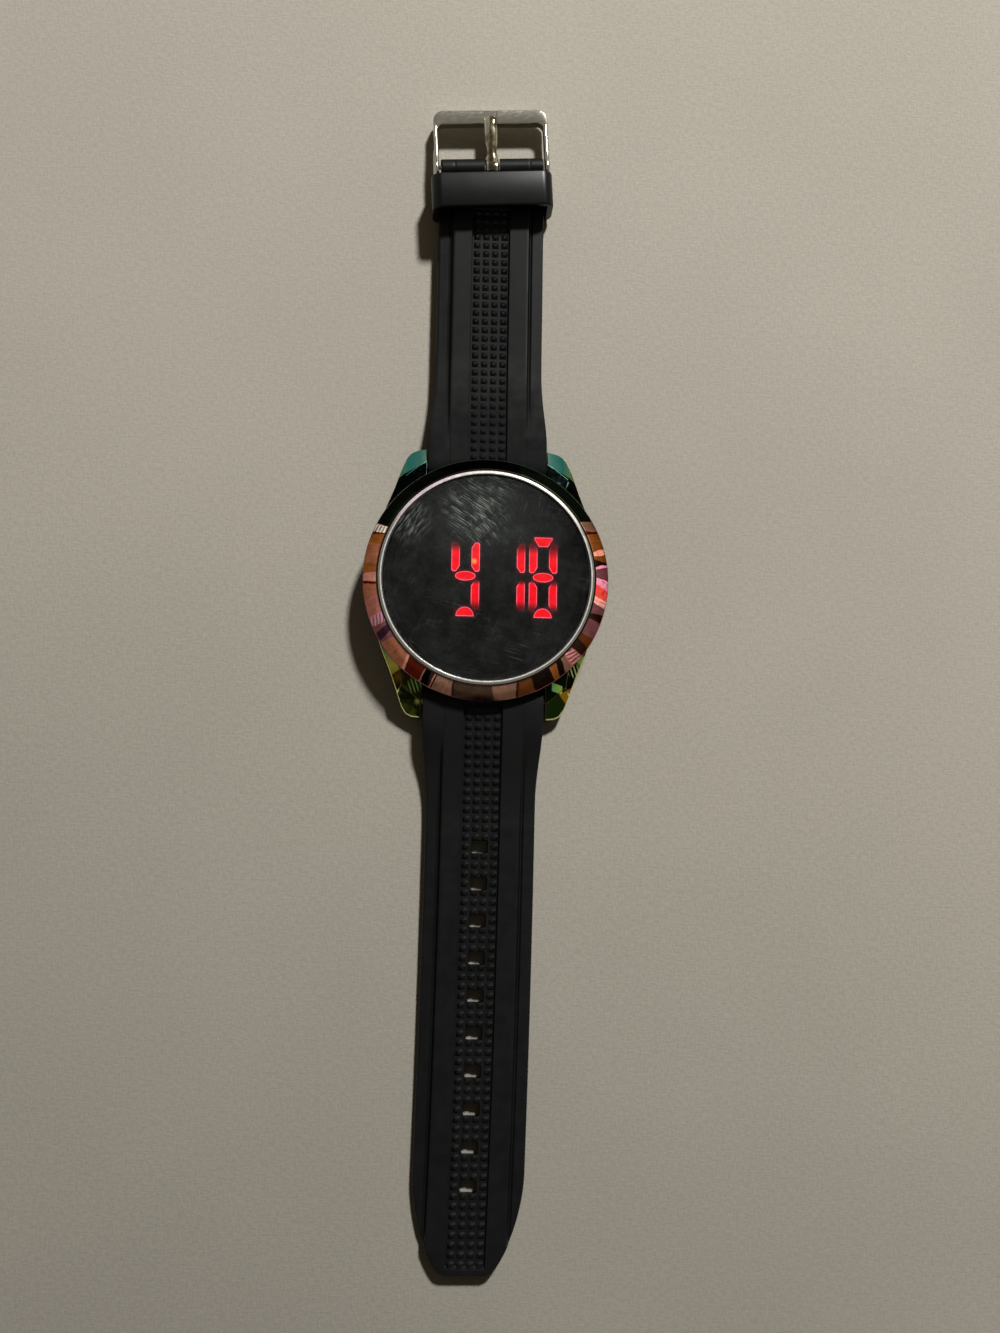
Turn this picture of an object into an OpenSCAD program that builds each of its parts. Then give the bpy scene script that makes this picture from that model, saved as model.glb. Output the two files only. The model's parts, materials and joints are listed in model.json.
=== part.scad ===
// Round LED wristwatch with a two-piece rubber strap, a pin buckle and a keeper loop.
// The frame: +Y points to twelve o'clock, +Z up through the glass, millimetres.
// The origin is the centre of the case on the flat face of its back, on which the watch lies.

/* [Case] */
// Diameter of the mid-case under the bezel
case_d = 44; // [43.4:0.2:44.8]
// Height of the shoulder that carries the bezel
case_top = 6.8; // [6.6:0.1:7.6]
// Distance between the inner faces of a pair of lugs
lug_gap = 22.5; // [22.3:0.1:23.1]
// Reach of a lug's tip from the centre of the case
lug_reach = 25.3; // [24.9:0.1:26.5]
// Half the distance across the outer corners of a pair of lugs, at the tips
lug_tip_x = 14; // [13.6:0.1:14.8]
// Height of a lug's underside
lug_base = 1.2; // [0.8:0.1:1.6]
// Thickness of a lug at its tip
lug_tip_t = 1.3; // [0.9:0.1:1.8]
// Distance of each lug bar from the centre of the case
bar_y = 22; // [21.8:0.1:22.8]
// Height of the lug bars
bar_z = 3.3; // [3.1:0.1:3.6]

/* [Bezel and glass] */
// Outer diameter of the bezel
bezel_d = 45; // [44.9:0.1:46]
// Height of the bezel's upright edge
bezel_edge = 0.7; // [0.4:0.1:1.2]
// Height of the bezel's cone above the upright edge
bezel_cone = 2.7; // [2.2:0.1:3.2]
// Outer diameter of the bright ring round the glass
ring_d = 39.4; // [39.2:0.1:39.6]
// Width of the bright ring as seen from above
ring_w = 0.65; // [0.5:0.05:0.8]
// Height by which the bright ring stands above the bezel
ring_proud = 0.3; // [0.1:0.1:0.6]
// Thickness of the glass
glass_t = 1.7; // [1.4:0.1:1.8]

/* [Case back] */
// Thickness of the case back
back_t = 1.2; // [1:0.1:1.4]
// Diameter of the case back's round sides
back_d = 41.2; // [40.8:0.1:41.6]
// Distance across the case back's two flats
back_flats = 36.8; // [36.4:0.1:37]
// Depth of the case back that shows below the mid-case
back_proud = 0.6; // [0.4:0.1:0.8]
// Diameter of the circle through the back screws
screw_circle = 37.9; // [37.8:0.1:38.1]
// Diameter of a back screw's shank
screw_d = 1.4; // [1.2:0.1:1.6]
// Diameter of a back screw's head
screw_head_d = 2.1; // [1.9:0.1:2.2]
// Depth of the thread below the case back
screw_grip = 3; // [2:0.5:4]

/* [Movement] */
// Diameter of the cavity that holds the movement
cavity_d = 33.9; // [33.5:0.1:34]
// Diameter of the coin cell
cell_d = 20; // [19:0.5:20.5]
// Thickness of the coin cell
cell_t = 3.2; // [2.5:0.1:3.2]
// Thickness of the display board
board_t = 1; // [0.8:0.1:1]
// Thickness of the web above the coin cell
web_t = 0.4; // [0.3:0.1:0.5]

/* [Display] */
// Height of a digit
digit_h = 14.9; // [13:0.1:15]
// Width of a digit
digit_w = 5.25; // [4.8:0.05:5.4]
// Width of an upright segment
seg_w = 1.6; // [1.2:0.1:1.7]
// Distance between the two digits of a pair
digit_pitch = 5.9; // [5.8:0.1:6.2]
// Distance between the inner digits of the two pairs
pair_pitch = 8.3; // [8:0.1:8.6]
// Sideways offset of the display from the centre
display_x = 0.35; // [0:0.05:0.4]
// Offset of the display towards twelve o'clock
display_y = 0.43; // [0:0.01:0.5]

/* [Strap] */
// Width of the strap
strap_w = 20; // [19.8:0.1:20.1]
// Width of the strap's ends between the lugs
strap_lug_w = 22.1; // [21.6:0.1:22.1]
// Thickness of the strap
strap_t = 3; // [2.8:0.1:3.2]
// Thickness of the strap at its free tip
tip_t = 2.4; // [2.2:0.1:2.8]
// Radius of the strap's round end on a lug bar
lug_end_r = 2.6; // [2.4:0.05:2.6]
// Radius of the strap's round end on the buckle bar
buckle_end_r = 2; // [1.8:0.1:2.1]
// Length of the buckle strap from lug bar to buckle bar
buckle_strap_len = 58.6; // [52:0.2:70]
// Length of the hole strap from lug bar to tip
hole_strap_len = 101.8; // [98:0.2:120]
// Width of the blunt end of the tip
tip_w = 8; // [7.6:0.1:9]
// Length of the curved tip
tip_len = 17.1; // [14:0.1:20]
// Width of the lowered margin along each side
margin_w = 2.3; // [1.5:0.1:2.6]
// Depth of the lowered margins
margin_drop = 0.9; // [0.5:0.1:1.2]
// Width of the sunken band down the middle
band_w = 7.1; // [6:0.1:7.5]
// Depth of the sunken band
band_drop = 0.7; // [0.4:0.1:0.8]
// Number of adjusting holes
hole_count = 10; // [6:1:10]
// Distance between two adjusting holes
hole_pitch = 6.67; // [6.2:0.05:7]
// Distance of the first hole from the lug bar
hole_first = 26.5; // [24:0.5:28]
// Width of an adjusting hole across the strap
hole_w = 2.9; // [2.7:0.1:3.4]
// Length of an adjusting hole along the strap
hole_l = 2.3; // [1.8:0.1:2.8]

/* [Keeper] */
// Length of the keeper along the strap
keeper_l = 6.7; // [5:0.1:7]
// Thickness of the keeper's wall
keeper_t = 1.2; // [1:0.1:1.3]
// Height of the room inside the keeper
keeper_room = 6; // [5.6:0.1:6.5]
// Distance from the buckle bar to the keeper's near side
keeper_back = 2.5; // [2.4:0.1:5]

/* [Buckle] */
// Outer width of the buckle frame
frame_w = 22; // [21.9:0.1:22.4]
// Thickness of the frame's side arms
arm_t = 0.85; // [0.7:0.05:0.9]
// Height of the frame's arms at the buckle bar
frame_h = 3.4; // [3:0.1:3.6]
// Height of the frame's far bar
far_bar_h = 2.3; // [1.6:0.1:2.6]
// Height by which the middle of the far bar lies below the buckle bar
far_bar_droop = 0.7; // [0:0.1:0.8]
// Distance from the buckle bar to the frame's far edge
frame_reach = 11.9; // [11:0.1:13]
// Width of the frame's far bar
far_bar_w = 2.7; // [2.2:0.1:3]
// Radius of the frame's outer corners
frame_corner = 2; // [1.6:0.1:3]
// Width of the tongue
tongue_w = 2.5; // [2:0.1:2.6]
// Thickness of the tongue's blade
tongue_t = 1; // [0.8:0.1:1.2]

/* [Spring bars] */
// Diameter of a spring bar's tube
tube_d = 1.8; // [1.7:0.05:1.8]
// Diameter of the pin at each end of a spring bar
pin_d = 0.8; // [0.7:0.05:0.9]
// Travel of each end of a spring bar
tip_travel = 1.3; // [1:0.1:1.3]

/* [Hidden] */
$fn = 96;

// Clearances: a running fit on a pin, a close seat, a slip fit and a free gap beside soft parts
run = 0.05;
seat = 0.05;
slip = 0.1;
free = 0.25;

// Heights of the stack inside the case
spigot_h = 1.5;
spigot_top = case_top + spigot_h;
bezel_top = case_top + bezel_edge + bezel_cone;
ring_top = bezel_top + ring_proud;
flange_t = 0.3;
glass_z = spigot_top + flange_t;
mask_t = 0.3;
mask_z = glass_z - slip - mask_t;
clip_t = 0.25;
clip_z = back_t + free;
cell_z = clip_z + clip_t + seat;
web_z = cell_z + cell_t + free;
board_z = web_z + web_t;
parts_z = board_z + board_t;

// Radii of the stack inside the case
case_r = case_d / 2;
cavity_r = cavity_d / 2;
throat_r = cavity_r + 0.45;
ring_r = ring_d / 2;
spigot_r = ring_r + 0.5;
gasket_t = 0.25;
gasket_r = ring_r - ring_w - seat;
glass_r = gasket_r - gasket_t;
flange_r = throat_r + 0.2;
mask_r = throat_r - 0.2;
board_r = cavity_r - 0.35;
holder_r = cavity_r - 0.15;
groove_w = 0.9;
clip_w = 4;
clip_margin = 2.2;
clip_l = 2 * (holder_r - clip_margin);
groove_h = 0.45;

// The wall between the lugs stands clear of the strap's round end
wall_gap = 0.35;
strap_wall_y = bar_y - lug_end_r - wall_gap;
tube_r = tube_d / 2;
tube_wall = 0.28;
bore_r = tube_r + run;
pin_r = pin_d / 2;
pin_hole_r = pin_r + run;
pin_seat = 1.25;
shoulder_t = 0.55;
plunger_l = 3.4;

// Places along the strap
buckle_y = bar_y + buckle_strap_len;
lift = keeper_t + free;
end_rise = 0.45;
buckle_z = lift + strap_t / 2 + end_rise;
keeper_y = buckle_y - keeper_back - keeper_l;
blend_l = 22;
lug_w_l = 3;
narrow_l = 15;
landing_l = 12;
fade_l = 8.5;
fade_start = 4.5;
tip_y = bar_y + hole_strap_len;
slot_w = tongue_w + 2 * free;
slot_back = 2.7;
end_gap = 0.35;
buckle_end_w = frame_w - 2 * arm_t - 2 * end_gap;
buckle_end_l = keeper_back;
arm_in = frame_w / 2 - arm_t;
far = 60;

// Smooth step from 0 to 1
function ease(t) = let (u = min(max(t, 0), 1)) u * u * (3 - 2 * u);
function mix(a, b, t) = a + (b - a) * ease(t);

// Half width of the strap at a distance s from its lug bar
function half_w(s) = mix(strap_lug_w, strap_w, (s - lug_w_l) / narrow_l) / 2;

// Half width along the curved tip, with u from 0 at its start to 1 at its end
function tip_half(u) = tip_w / 2 + (strap_w - tip_w) / 2 * pow(1 - pow(u, 1.7), 0.7);

// Heights of the buckle strap's faces at a distance s from the lug bar
function buckle_low(s) = mix(bar_z - lug_end_r, lift, s / blend_l);
function buckle_high(s) = mix(bar_z + lug_end_r, lift + strap_t, s / blend_l);

// Heights of the hole strap's faces at a distance s from the lug bar
function hole_low(s) = mix(bar_z - lug_end_r, 0, s / landing_l);
function hole_high(s) = s < blend_l
    ? mix(bar_z + lug_end_r, strap_t, s / blend_l)
    : strap_t + (tip_t - strap_t) * (s - blend_l) / (hole_strap_len - blend_l);

// Stations along a strap: close together where it curves, then one at its end
function stations(end) = concat([for (i = [0:14]) i * blend_l / 14], [end]);

// Points (y, z) round a strap seen from its side, with the top lowered by drop
function side_points(low, high, end, drop) = concat(
    [for (s = stations(end)) [s, low(s)]],
    [for (s = [for (i = [len(stations(end)) - 1:-1:0]) stations(end)[i]]) [s, high(s) - drop]]
);

// Points along an arc of radius r round a centre, from one angle to another in n steps
function arc(centre, r, from, to, n) =
    [for (i = [0:n]) let (a = from + (to - from) * i / n) centre + r * [cos(a), sin(a)]];

// Extrudes a (y, z) outline across the watch, centred on it
module across(width) {
    rotate([90, 0, 90]) linear_extrude(width, center = true) children();
}

// A cylinder along X from x0 to x1
module rod(x0, x1, r) {
    translate([x0, 0, 0]) rotate([0, 90, 0]) cylinder(h = x1 - x0, r = r);
}

// Removes what lies above a plane through a point that falls at slope degrees towards heading
module above(point, heading, slope) {
    translate(point) rotate([0, 0, heading]) rotate([0, slope, 0])
        translate([-far / 2, -far / 2, 0]) cube([far, far, far / 2]);
}

// A ring between two radii, from z0 up
module ring(r_in, r_out, z0, h) {
    translate([0, 0, z0]) difference() {
        cylinder(h = h, r = r_out);
        translate([0, 0, -1]) cylinder(h = h + 2, r = r_in);
    }
}

// The outline of the case back: a disc with a flat beside each strap end
module back_outline(gap) {
    intersection() {
        circle(r = back_d / 2 + gap);
        square([far, back_flats + 2 * gap], center = true);
    }
}

// Copies to the four screw places
module at_screws() {
    for (a = [45:90:315]) rotate([0, 0, a]) translate([screw_circle / 2, 0, 0]) children();
}

// The lug at two o'clock, faceted at its top, its end and its outer edge
module lug() {
    start_y = 8;
    side = [18.8, 13.2];
    shoulder = [lug_tip_x + 1.9, lug_reach - 4.6];
    crease_z = case_top - 1.05;
    tip_z = lug_base + lug_tip_t;
    top_y = 17;
    top_slope = 14;
    end_x = 13.8;
    end_back = 1.3;
    end_heading = 59.7;
    end_run = 3.6;
    side_drop = 2.5;
    side_heading = 18.7;
    side_slope = 50;
    difference() {
        translate([0, 0, lug_base]) linear_extrude(case_top - lug_base) polygon([
            [lug_gap / 2, start_y],
            [sqrt(case_r * case_r - start_y * start_y), start_y],
            side,
            [(side[0] + shoulder[0]) / 2 - 0.1, (side[1] + shoulder[1]) / 2],
            shoulder,
            [lug_tip_x + 0.9, lug_reach - 1.8],
            [lug_tip_x + 0.2, lug_reach - 0.8],
            [lug_tip_x - 0.9, lug_reach - 0.25],
            [lug_gap / 2, lug_reach],
        ]);
        above([0, top_y, case_top], 90, top_slope);
        above([end_x, bar_y - end_back, crease_z], end_heading, atan((crease_z - tip_z) / end_run));
        above([side[0], side[1], case_top - side_drop], side_heading, side_slope);
    }
}

module case_middle() {
    color("darkslategray") difference() {
        union() {
            translate([0, 0, back_proud]) cylinder(h = case_top - back_proud, r = case_r);
            cylinder(h = spigot_top, r = spigot_r - slip);
            for (x = [0, 1], y = [0, 1]) mirror([x, 0, 0]) mirror([0, y, 0]) lug();
        }
        translate([0, 0, -1]) cylinder(h = back_proud + 1, r = far);
        linear_extrude(back_t) back_outline(slip);
        ring(cavity_r + slip, cavity_r + slip + groove_w, back_t - 0.1, groove_h + 0.1);
        cylinder(h = spigot_top, r = cavity_r);
        translate([0, 0, parts_z - 0.1]) cylinder(h = spigot_top, r = throat_r);
        for (m = [0, 1]) mirror([0, m, 0]) {
            translate([-lug_gap / 2, strap_wall_y, -1]) cube([lug_gap, far, case_top + 1]);
            translate([0, bar_y, bar_z])
                rod(-lug_gap / 2 - pin_seat - 0.2, lug_gap / 2 + pin_seat + 0.2, pin_hole_r);
        }
        at_screws() cylinder(h = back_t + screw_grip + 0.3, r = screw_d / 2 + 0.02);
    }
}

module case_back() {
    head_h = 0.7;
    color("lightgray") difference() {
        union() {
            linear_extrude(back_t) back_outline(0);
            cylinder(h = back_t + 0.2, r = cavity_r - slip);
        }
        at_screws() {
            translate([0, 0, -1]) cylinder(h = back_t + 2, r = screw_d / 2 + slip);
            translate([0, 0, -1]) cylinder(h = head_h + 1, r = screw_head_d / 2 + slip);
        }
    }
}

module back_gasket() {
    color("black")
        ring(cavity_r + slip + seat, cavity_r + slip + groove_w - seat, back_t, groove_h - seat);
}

module back_screws() {
    head_h = 0.6;
    lead = 0.1;
    color("silver") at_screws() difference() {
        union() {
            translate([0, 0, lead]) cylinder(h = head_h, r = screw_head_d / 2);
            translate([0, 0, lead]) cylinder(h = back_t + screw_grip - lead, r = screw_d / 2);
        }
        for (a = [0, 90]) rotate([0, 0, a])
            translate([-0.6, -0.12, 0]) cube([1.2, 0.24, 0.45]);
    }
}

module bezel() {
    color("rosybrown") rotate_extrude() polygon([
        [spigot_r, case_top],
        [bezel_d / 2, case_top],
        [bezel_d / 2, case_top + bezel_edge],
        [ring_r + 0.4, bezel_top],
        [ring_r + seat, bezel_top],
        [ring_r + seat, spigot_top],
        [spigot_r, spigot_top],
    ]);
}

module glass_ring() {
    edge = 0.15;
    color("silver") rotate_extrude() polygon([
        [ring_r - ring_w, spigot_top],
        [ring_r, spigot_top],
        [ring_r, ring_top - edge],
        [ring_r - edge, ring_top],
        [ring_r - ring_w + edge, ring_top],
        [ring_r - ring_w, ring_top - edge],
    ]);
}

module glass_gasket() {
    color("black") rotate_extrude() polygon([
        [flange_r, spigot_top],
        [gasket_r, spigot_top],
        [gasket_r, ring_top - 0.35],
        [glass_r + seat, ring_top - 0.35],
        [glass_r + seat, glass_z],
        [flange_r, glass_z],
    ]);
}

module glass() {
    edge = 0.25;
    color("#101214") rotate_extrude() polygon([
        [0, glass_z],
        [glass_r, glass_z],
        [glass_r, glass_z + glass_t - edge],
        [glass_r - edge, glass_z + glass_t],
        [0, glass_z + glass_t],
    ]);
}

// Segment outlines round their own centres, all grown by g
upright_l = 5.4;
upright_y = 3.5;
end_seg_w = 3.3;
end_seg_h = 1.75;
mid_seg_w = 3.75;
mid_seg_h = 1.75;

module upright_segment(g) {
    w = seg_w / 2 + g;
    l = upright_l / 2 + g;
    cut = 0.45;
    polygon([
        [-w, -l + cut], [-w, l - cut], [-w + cut, l], [w - cut, l],
        [w, l - cut], [w, -l + cut], [w - cut, -l], [-w + cut, -l],
    ]);
}

module top_segment(g) {
    w = end_seg_w / 2 + g;
    h = end_seg_h / 2 + g;
    polygon([[-w, h], [-w, h - 0.4], [-w / 2, -h], [w / 2, -h], [w, h - 0.4], [w, h]]);
}

module middle_segment(g) {
    w = mid_seg_w / 2 + g;
    h = mid_seg_h / 2 + g;
    polygon([for (a = [0:30:330]) [w * cos(a), h * sin(a)]]);
}

module bottom_segment(g) {
    w = end_seg_w / 2 + g;
    h = end_seg_h + 2 * g;
    polygon([for (a = [0:22.5:180]) [w * cos(a), -h / 2 + h * sin(a)]]);
}

// One segment of a digit by its usual letter
module segment(letter, g) {
    x = (digit_w - seg_w) / 2;
    y = (digit_h - end_seg_h) / 2;
    if (letter == "a") translate([0, y]) top_segment(g);
    if (letter == "b") translate([x, upright_y]) upright_segment(g);
    if (letter == "c") translate([x, -upright_y]) upright_segment(g);
    if (letter == "d") translate([0, -y]) bottom_segment(g);
    if (letter == "e") translate([-x, -upright_y]) upright_segment(g);
    if (letter == "f") translate([-x, upright_y]) upright_segment(g);
    if (letter == "g") middle_segment(g);
}

// The centres of the four digits, from left to right
digit_x = [for (k = [-1, 1], j = [-1, 1]) display_x + k * (pair_pitch + digit_pitch) / 2
    + j * digit_pitch / 2];

// Bars of light guide for the listed segments of digit i
module light_bars(i, letters) {
    for (letter = letters)
        translate([digit_x[i], display_y, parts_z + seat])
            linear_extrude(mask_z + mask_t - parts_z - 2 * seat) segment(letter, 0);
}

module all_segments(g) {
    for (i = [0:3], letter = "abcdefg") translate([digit_x[i], display_y]) segment(letter, g);
}

module display_mask() {
    color("black") translate([0, 0, mask_z]) linear_extrude(mask_t) difference() {
        circle(r = mask_r);
        all_segments(seat);
    }
}

module light_box() {
    wall = 1.2;
    box_w = pair_pitch + 2 * digit_pitch + digit_w + 2 * wall;
    box_h = digit_h + 2 * wall;
    color("gainsboro") translate([0, 0, parts_z]) linear_extrude(mask_z - parts_z - seat)
        difference() {
            translate([display_x, display_y]) square([box_w, box_h], center = true);
            all_segments(seat);
        }
}

module hour_digit() {
    color("red") light_bars(1, "bcdfg");
}

module tens_digit() {
    color("red") light_bars(2, "bc");
}

module units_digit() {
    color("red") light_bars(3, "abcdefg");
}

module dark_segments() {
    color("dimgray") {
        light_bars(0, "abcdefg");
        light_bars(1, "ae");
        light_bars(2, "adefg");
    }
}

module display_board() {
    color("darkgreen") translate([0, 0, board_z]) linear_extrude(board_t) difference() {
        circle(r = board_r);
        for (a = [0, 180]) rotate(a) translate([board_r, 0]) square([1.6, 3], center = true);
    }
}

module driver_chip() {
    side = 4;
    color("#202020") translate([-5 - side / 2, -11.8 - side / 2, parts_z]) cube([side, side, 0.9]);
}

module timing_crystal() {
    can_r = 0.7;
    color("silver") translate([0, 12.4, parts_z + can_r + seat]) rod(-3, 3, can_r);
}

module touch_spring() {
    color("gold") translate([5, -11.8, 0])
        ring(0.8, 1.1, parts_z, mask_z - parts_z - seat);
}

module movement_holder() {
    lip = 0.4;
    color("whitesmoke") difference() {
        translate([0, 0, clip_z - 0.05]) cylinder(h = board_z - clip_z + 0.05, r = holder_r);
        translate([0, 0, clip_z - 1]) cylinder(h = web_z - clip_z + 1, r = cell_d / 2 + slip);
        translate([0, 0, clip_z - 1]) cylinder(h = far, r = 3);
        translate([-clip_l / 2 - 2 * slip, -clip_w / 2 - 2 * slip, clip_z - 1])
            cube([clip_l + 4 * slip, clip_w + 4 * slip, clip_t + lip + 1]);
    }
}

module coin_cell() {
    rim = 0.5;
    color("silver") rotate_extrude() polygon([
        [0, cell_z],
        [cell_d / 2, cell_z],
        [cell_d / 2, cell_z + cell_t - rim],
        [cell_d / 2 - 1.2, cell_z + cell_t - rim / 2],
        [cell_d / 2 - 1.3, cell_z + cell_t],
        [0, cell_z + cell_t],
    ]);
}

module cell_clip() {
    color("lightsteelblue") translate([-clip_l / 2, -clip_w / 2, clip_z])
        cube([clip_l, clip_w, clip_t]);
}

module cell_contact() {
    leaf = 0.15;
    low = cell_z + cell_t;
    color("gold") across(1.6) polygon([
        [-2, board_z - leaf], [-2, board_z], [-0.6, board_z], [1.6, low + leaf],
        [2.2, low + leaf], [2.2, low], [1.5, low], [-0.7, board_z - leaf],
    ]);
}

// One half of the strap before its own cuts, running along +Y from its lug bar at y = 0
module strap_blank(low, high, end) {
    difference() {
        union() {
            across(strap_lug_w) polygon(side_points(low, high, end, 0));
            translate([0, 0, bar_z]) rod(-strap_lug_w / 2, strap_lug_w / 2, lug_end_r);
        }
        for (m = [0, 1]) mirror([m, 0, 0]) translate([half_w(0) - 0.001, 0, 0]) side_trim(end);
        translate([0, 0, bar_z]) rod(-strap_lug_w, strap_lug_w, bore_r);
    }
}

// What the strap loses beside its straight stretch, from the inner face of the lugs outwards
module side_trim(end) {
    translate([-half_w(0), 0, -1]) linear_extrude(12) polygon(concat(
        [for (s = stations(end)) [half_w(s), s]],
        [[strap_lug_w, end], [strap_lug_w, 0]]
    ));
}

// The space above the lowered margins, from fade_start to end
module margin_cut(high, end) {
    s0 = fade_start;
    ss = concat([for (i = [0:12]) s0 + i * (blend_l - s0) / 12], [end]);
    points = concat(
        [for (s = ss) [s, high(s) - margin_drop * ease((s - s0) / fade_l)]],
        [[end, 12], [s0, 12]]
    );
    for (m = [-1, 1])
        translate([m * (strap_w / 2 - margin_w + far / 2), 0, 0]) across(far) polygon(points);
}

// The sunken band down the middle
module band_cut(high, from, end) {
    ss = concat([from], [for (i = [1:10]) i * blend_l / 10], [end]);
    points = concat([for (s = ss) [s, high(max(s, 0)) - band_drop]], [[end, 12], [from, 12]]);
    across(band_w) polygon(points);
}

module buckle_strap() {
    end = buckle_strap_len;
    color("#1c1e1e") translate([0, bar_y, 0]) difference() {
        union() {
            difference() {
                strap_blank(function (s) buckle_low(s), function (s) buckle_high(s), end);
                margin_cut(function (s) buckle_high(s), end + 5);
                for (m = [-1, 1]) translate([m * (buckle_end_w + far) / 2, end, 0])
                    cube([far, 2 * buckle_end_l, far], center = true);
            }
            translate([0, end, buckle_z]) rod(-buckle_end_w / 2, buckle_end_w / 2, buckle_end_r);
        }
        band_cut(function (s) buckle_high(s), -0.5, end - keeper_back - keeper_l + 1);
        translate([0, end, buckle_z]) rod(-strap_w, strap_w, bore_r);
        translate([-slot_w / 2, end - slot_back, 0]) cube([slot_w, 10, 10]);
    }
}

module hole_strap() {
    end = hole_strap_len;
    tip = [for (i = [0:12]) 1 - pow(1 - i / 12, 1.6)];
    color("#1c1e1e") mirror([0, 1, 0]) translate([0, bar_y, 0]) difference() {
        strap_blank(function (s) hole_low(s), function (s) hole_high(s), end);
        margin_cut(function (s) hole_high(s), end + 1);
        band_cut(function (s) hole_high(s), -0.5, end - 1.2);
        for (m = [0, 1]) mirror([m, 0, 0]) translate([0, 0, -1]) linear_extrude(12)
            polygon(concat(
                [for (u = tip) [tip_half(u), end - tip_len + u * tip_len]],
                [[tip_w / 2, end + 1], [strap_w, end + 1], [strap_w, end - tip_len]]
            ));
        for (i = [0:hole_count - 1])
            translate([-hole_w / 2, hole_first + i * hole_pitch - hole_l / 2, -1])
                cube([hole_w, hole_l, 12]);
    }
}

// A rectangle with round corners, centred, in the plane
module rounded(w, h, r) {
    square([w - 2 * r, h], center = true);
    square([w, h - 2 * r], center = true);
    for (x = [-1, 1], y = [-1, 1]) translate([x * (w / 2 - r), y * (h / 2 - r)]) circle(r = r);
}

module keeper() {
    in_w = strap_w + 2 * free;
    in_r = 0.8;
    out_w = in_w + 2 * keeper_t;
    out_h = keeper_room + 2 * keeper_t;
    color("#181a1a") translate([0, keeper_y + keeper_l, out_h / 2]) rotate([90, 0, 0])
        linear_extrude(keeper_l) difference() {
            rounded(out_w, out_h, in_r + keeper_t);
            rounded(in_w, keeper_room, in_r);
        }
}

// The frame's outline from above, with its far corners rounded and its back open
module frame_outline() {
    ear = 2.2;
    in_corner = frame_corner - arm_t;
    in_len = frame_reach - far_bar_w;
    difference() {
        union() {
            translate([-frame_w / 2, -ear]) square([frame_w, ear + frame_reach - frame_corner]);
            translate([-frame_w / 2 + frame_corner, 0])
                square([frame_w - 2 * frame_corner, frame_reach]);
            for (m = [-1, 1])
                translate([m * (frame_w / 2 - frame_corner), frame_reach - frame_corner])
                    circle(r = frame_corner);
        }
        translate([-arm_in, -ear - 1]) square([2 * arm_in, ear + 1 + in_len - in_corner]);
        translate([-arm_in + in_corner, 0]) square([2 * (arm_in - in_corner), in_len]);
        for (m = [-1, 1]) translate([m * (arm_in - in_corner), in_len - in_corner])
            circle(r = in_corner);
    }
}

notch_depth = 0.35;
bar_top = far_bar_h / 2 - far_bar_droop;
bar_low = -far_bar_h / 2 - far_bar_droop;

// The frame's outline from the side: round at the ears, with arms that narrow to the far bar
module frame_side() {
    ear_r = frame_h / 2 + 0.1;
    nose_r = 0.6;
    nose_y = frame_reach - nose_r;
    shoulder = 2.5;
    flat = frame_reach - far_bar_w - 0.4;
    lean = asin(frame_h / 2 / ear_r);
    polygon(concat(
        arc([0, 0], ear_r, lean, 360 - lean, 32),
        [[shoulder, -frame_h / 2], [flat, bar_low]],
        arc([nose_y, bar_low + nose_r], nose_r, -90, 0, 8),
        arc([nose_y, bar_top - nose_r], nose_r, 0, 90, 8),
        [[flat, bar_top], [shoulder, frame_h / 2]]
    ));
}

module buckle_frame() {
    color("gainsboro") translate([0, buckle_y, buckle_z]) difference() {
        intersection() {
            translate([0, 0, -5]) linear_extrude(10) frame_outline();
            across(frame_w) frame_side();
        }
        rod(-frame_w, frame_w, pin_hole_r);
        translate([-tongue_w / 2 - slip, frame_reach - far_bar_w - 1, bar_top - notch_depth])
            cube([tongue_w + 2 * slip, far_bar_w + 2, 2]);
    }
}

// The tongue: a hub round the buckle bar and a blade that rests in the far bar's notch
module buckle_tongue() {
    hub_r = buckle_end_r - 0.25;
    rest_z = bar_top - notch_depth + seat;
    half = tongue_w / 2;
    neck = half - 0.4;
    neck_y = 3;
    tip = frame_reach - 1.2;
    edge = [
        [half, -3], [half, 1.9], [neck, neck_y], [neck, neck_y + 0.6],
        [half, neck_y + 2], [half, tip - 0.8], [half / 2, tip],
    ];
    color("gainsboro") translate([0, buckle_y, buckle_z]) difference() {
        union() {
            rod(-half, half, hub_r);
            intersection() {
                across(tongue_w) polygon([
                    [0, hub_r - 0.2], [neck_y, hub_r - 0.5],
                    [tip - 2, rest_z + tongue_t], [tip - 0.5, rest_z + 0.8 * tongue_t],
                    [tip, rest_z + 0.3 * tongue_t], [tip, rest_z], [tip - 2, rest_z],
                    [neck_y, hub_r - 0.5 - tongue_t], [1, -0.3], [0, -0.3],
                ]);
                translate([0, 0, -5]) linear_extrude(10) polygon(concat(
                    edge,
                    [for (i = [len(edge) - 1:-1:0]) [-edge[i][0], edge[i][1]]]
                ));
            }
        }
        rod(-tongue_w, tongue_w, bore_r);
    }
}

// The places of the three spring bars and half the gap that each one spans
upper_bar = [0, bar_y, bar_z];
lower_bar = [0, -bar_y, bar_z];
buckle_bar = [0, buckle_y, buckle_z];
lug_half = lug_gap / 2;
buckle_half = arm_in - end_gap + seat;

// Half the length of the tube that leaves room for both ends to travel
function tube_half(half) = half - slip - shoulder_t - tip_travel - slip;

module bar_tube(place, half) {
    color("silver") translate(place) difference() {
        rod(-tube_half(half), tube_half(half), tube_r);
        rod(-half, half, tube_r - tube_wall);
    }
}

// The spring, drawn at the length that it has with both ends pushed in
module bar_spring(place, half) {
    spring_half = half - slip - shoulder_t - plunger_l - tip_travel - seat;
    color("gray") translate(place) difference() {
        rod(-spring_half, spring_half, tube_r - tube_wall - seat);
        rod(-half, half, tube_r - tube_wall - 0.3);
    }
}

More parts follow.
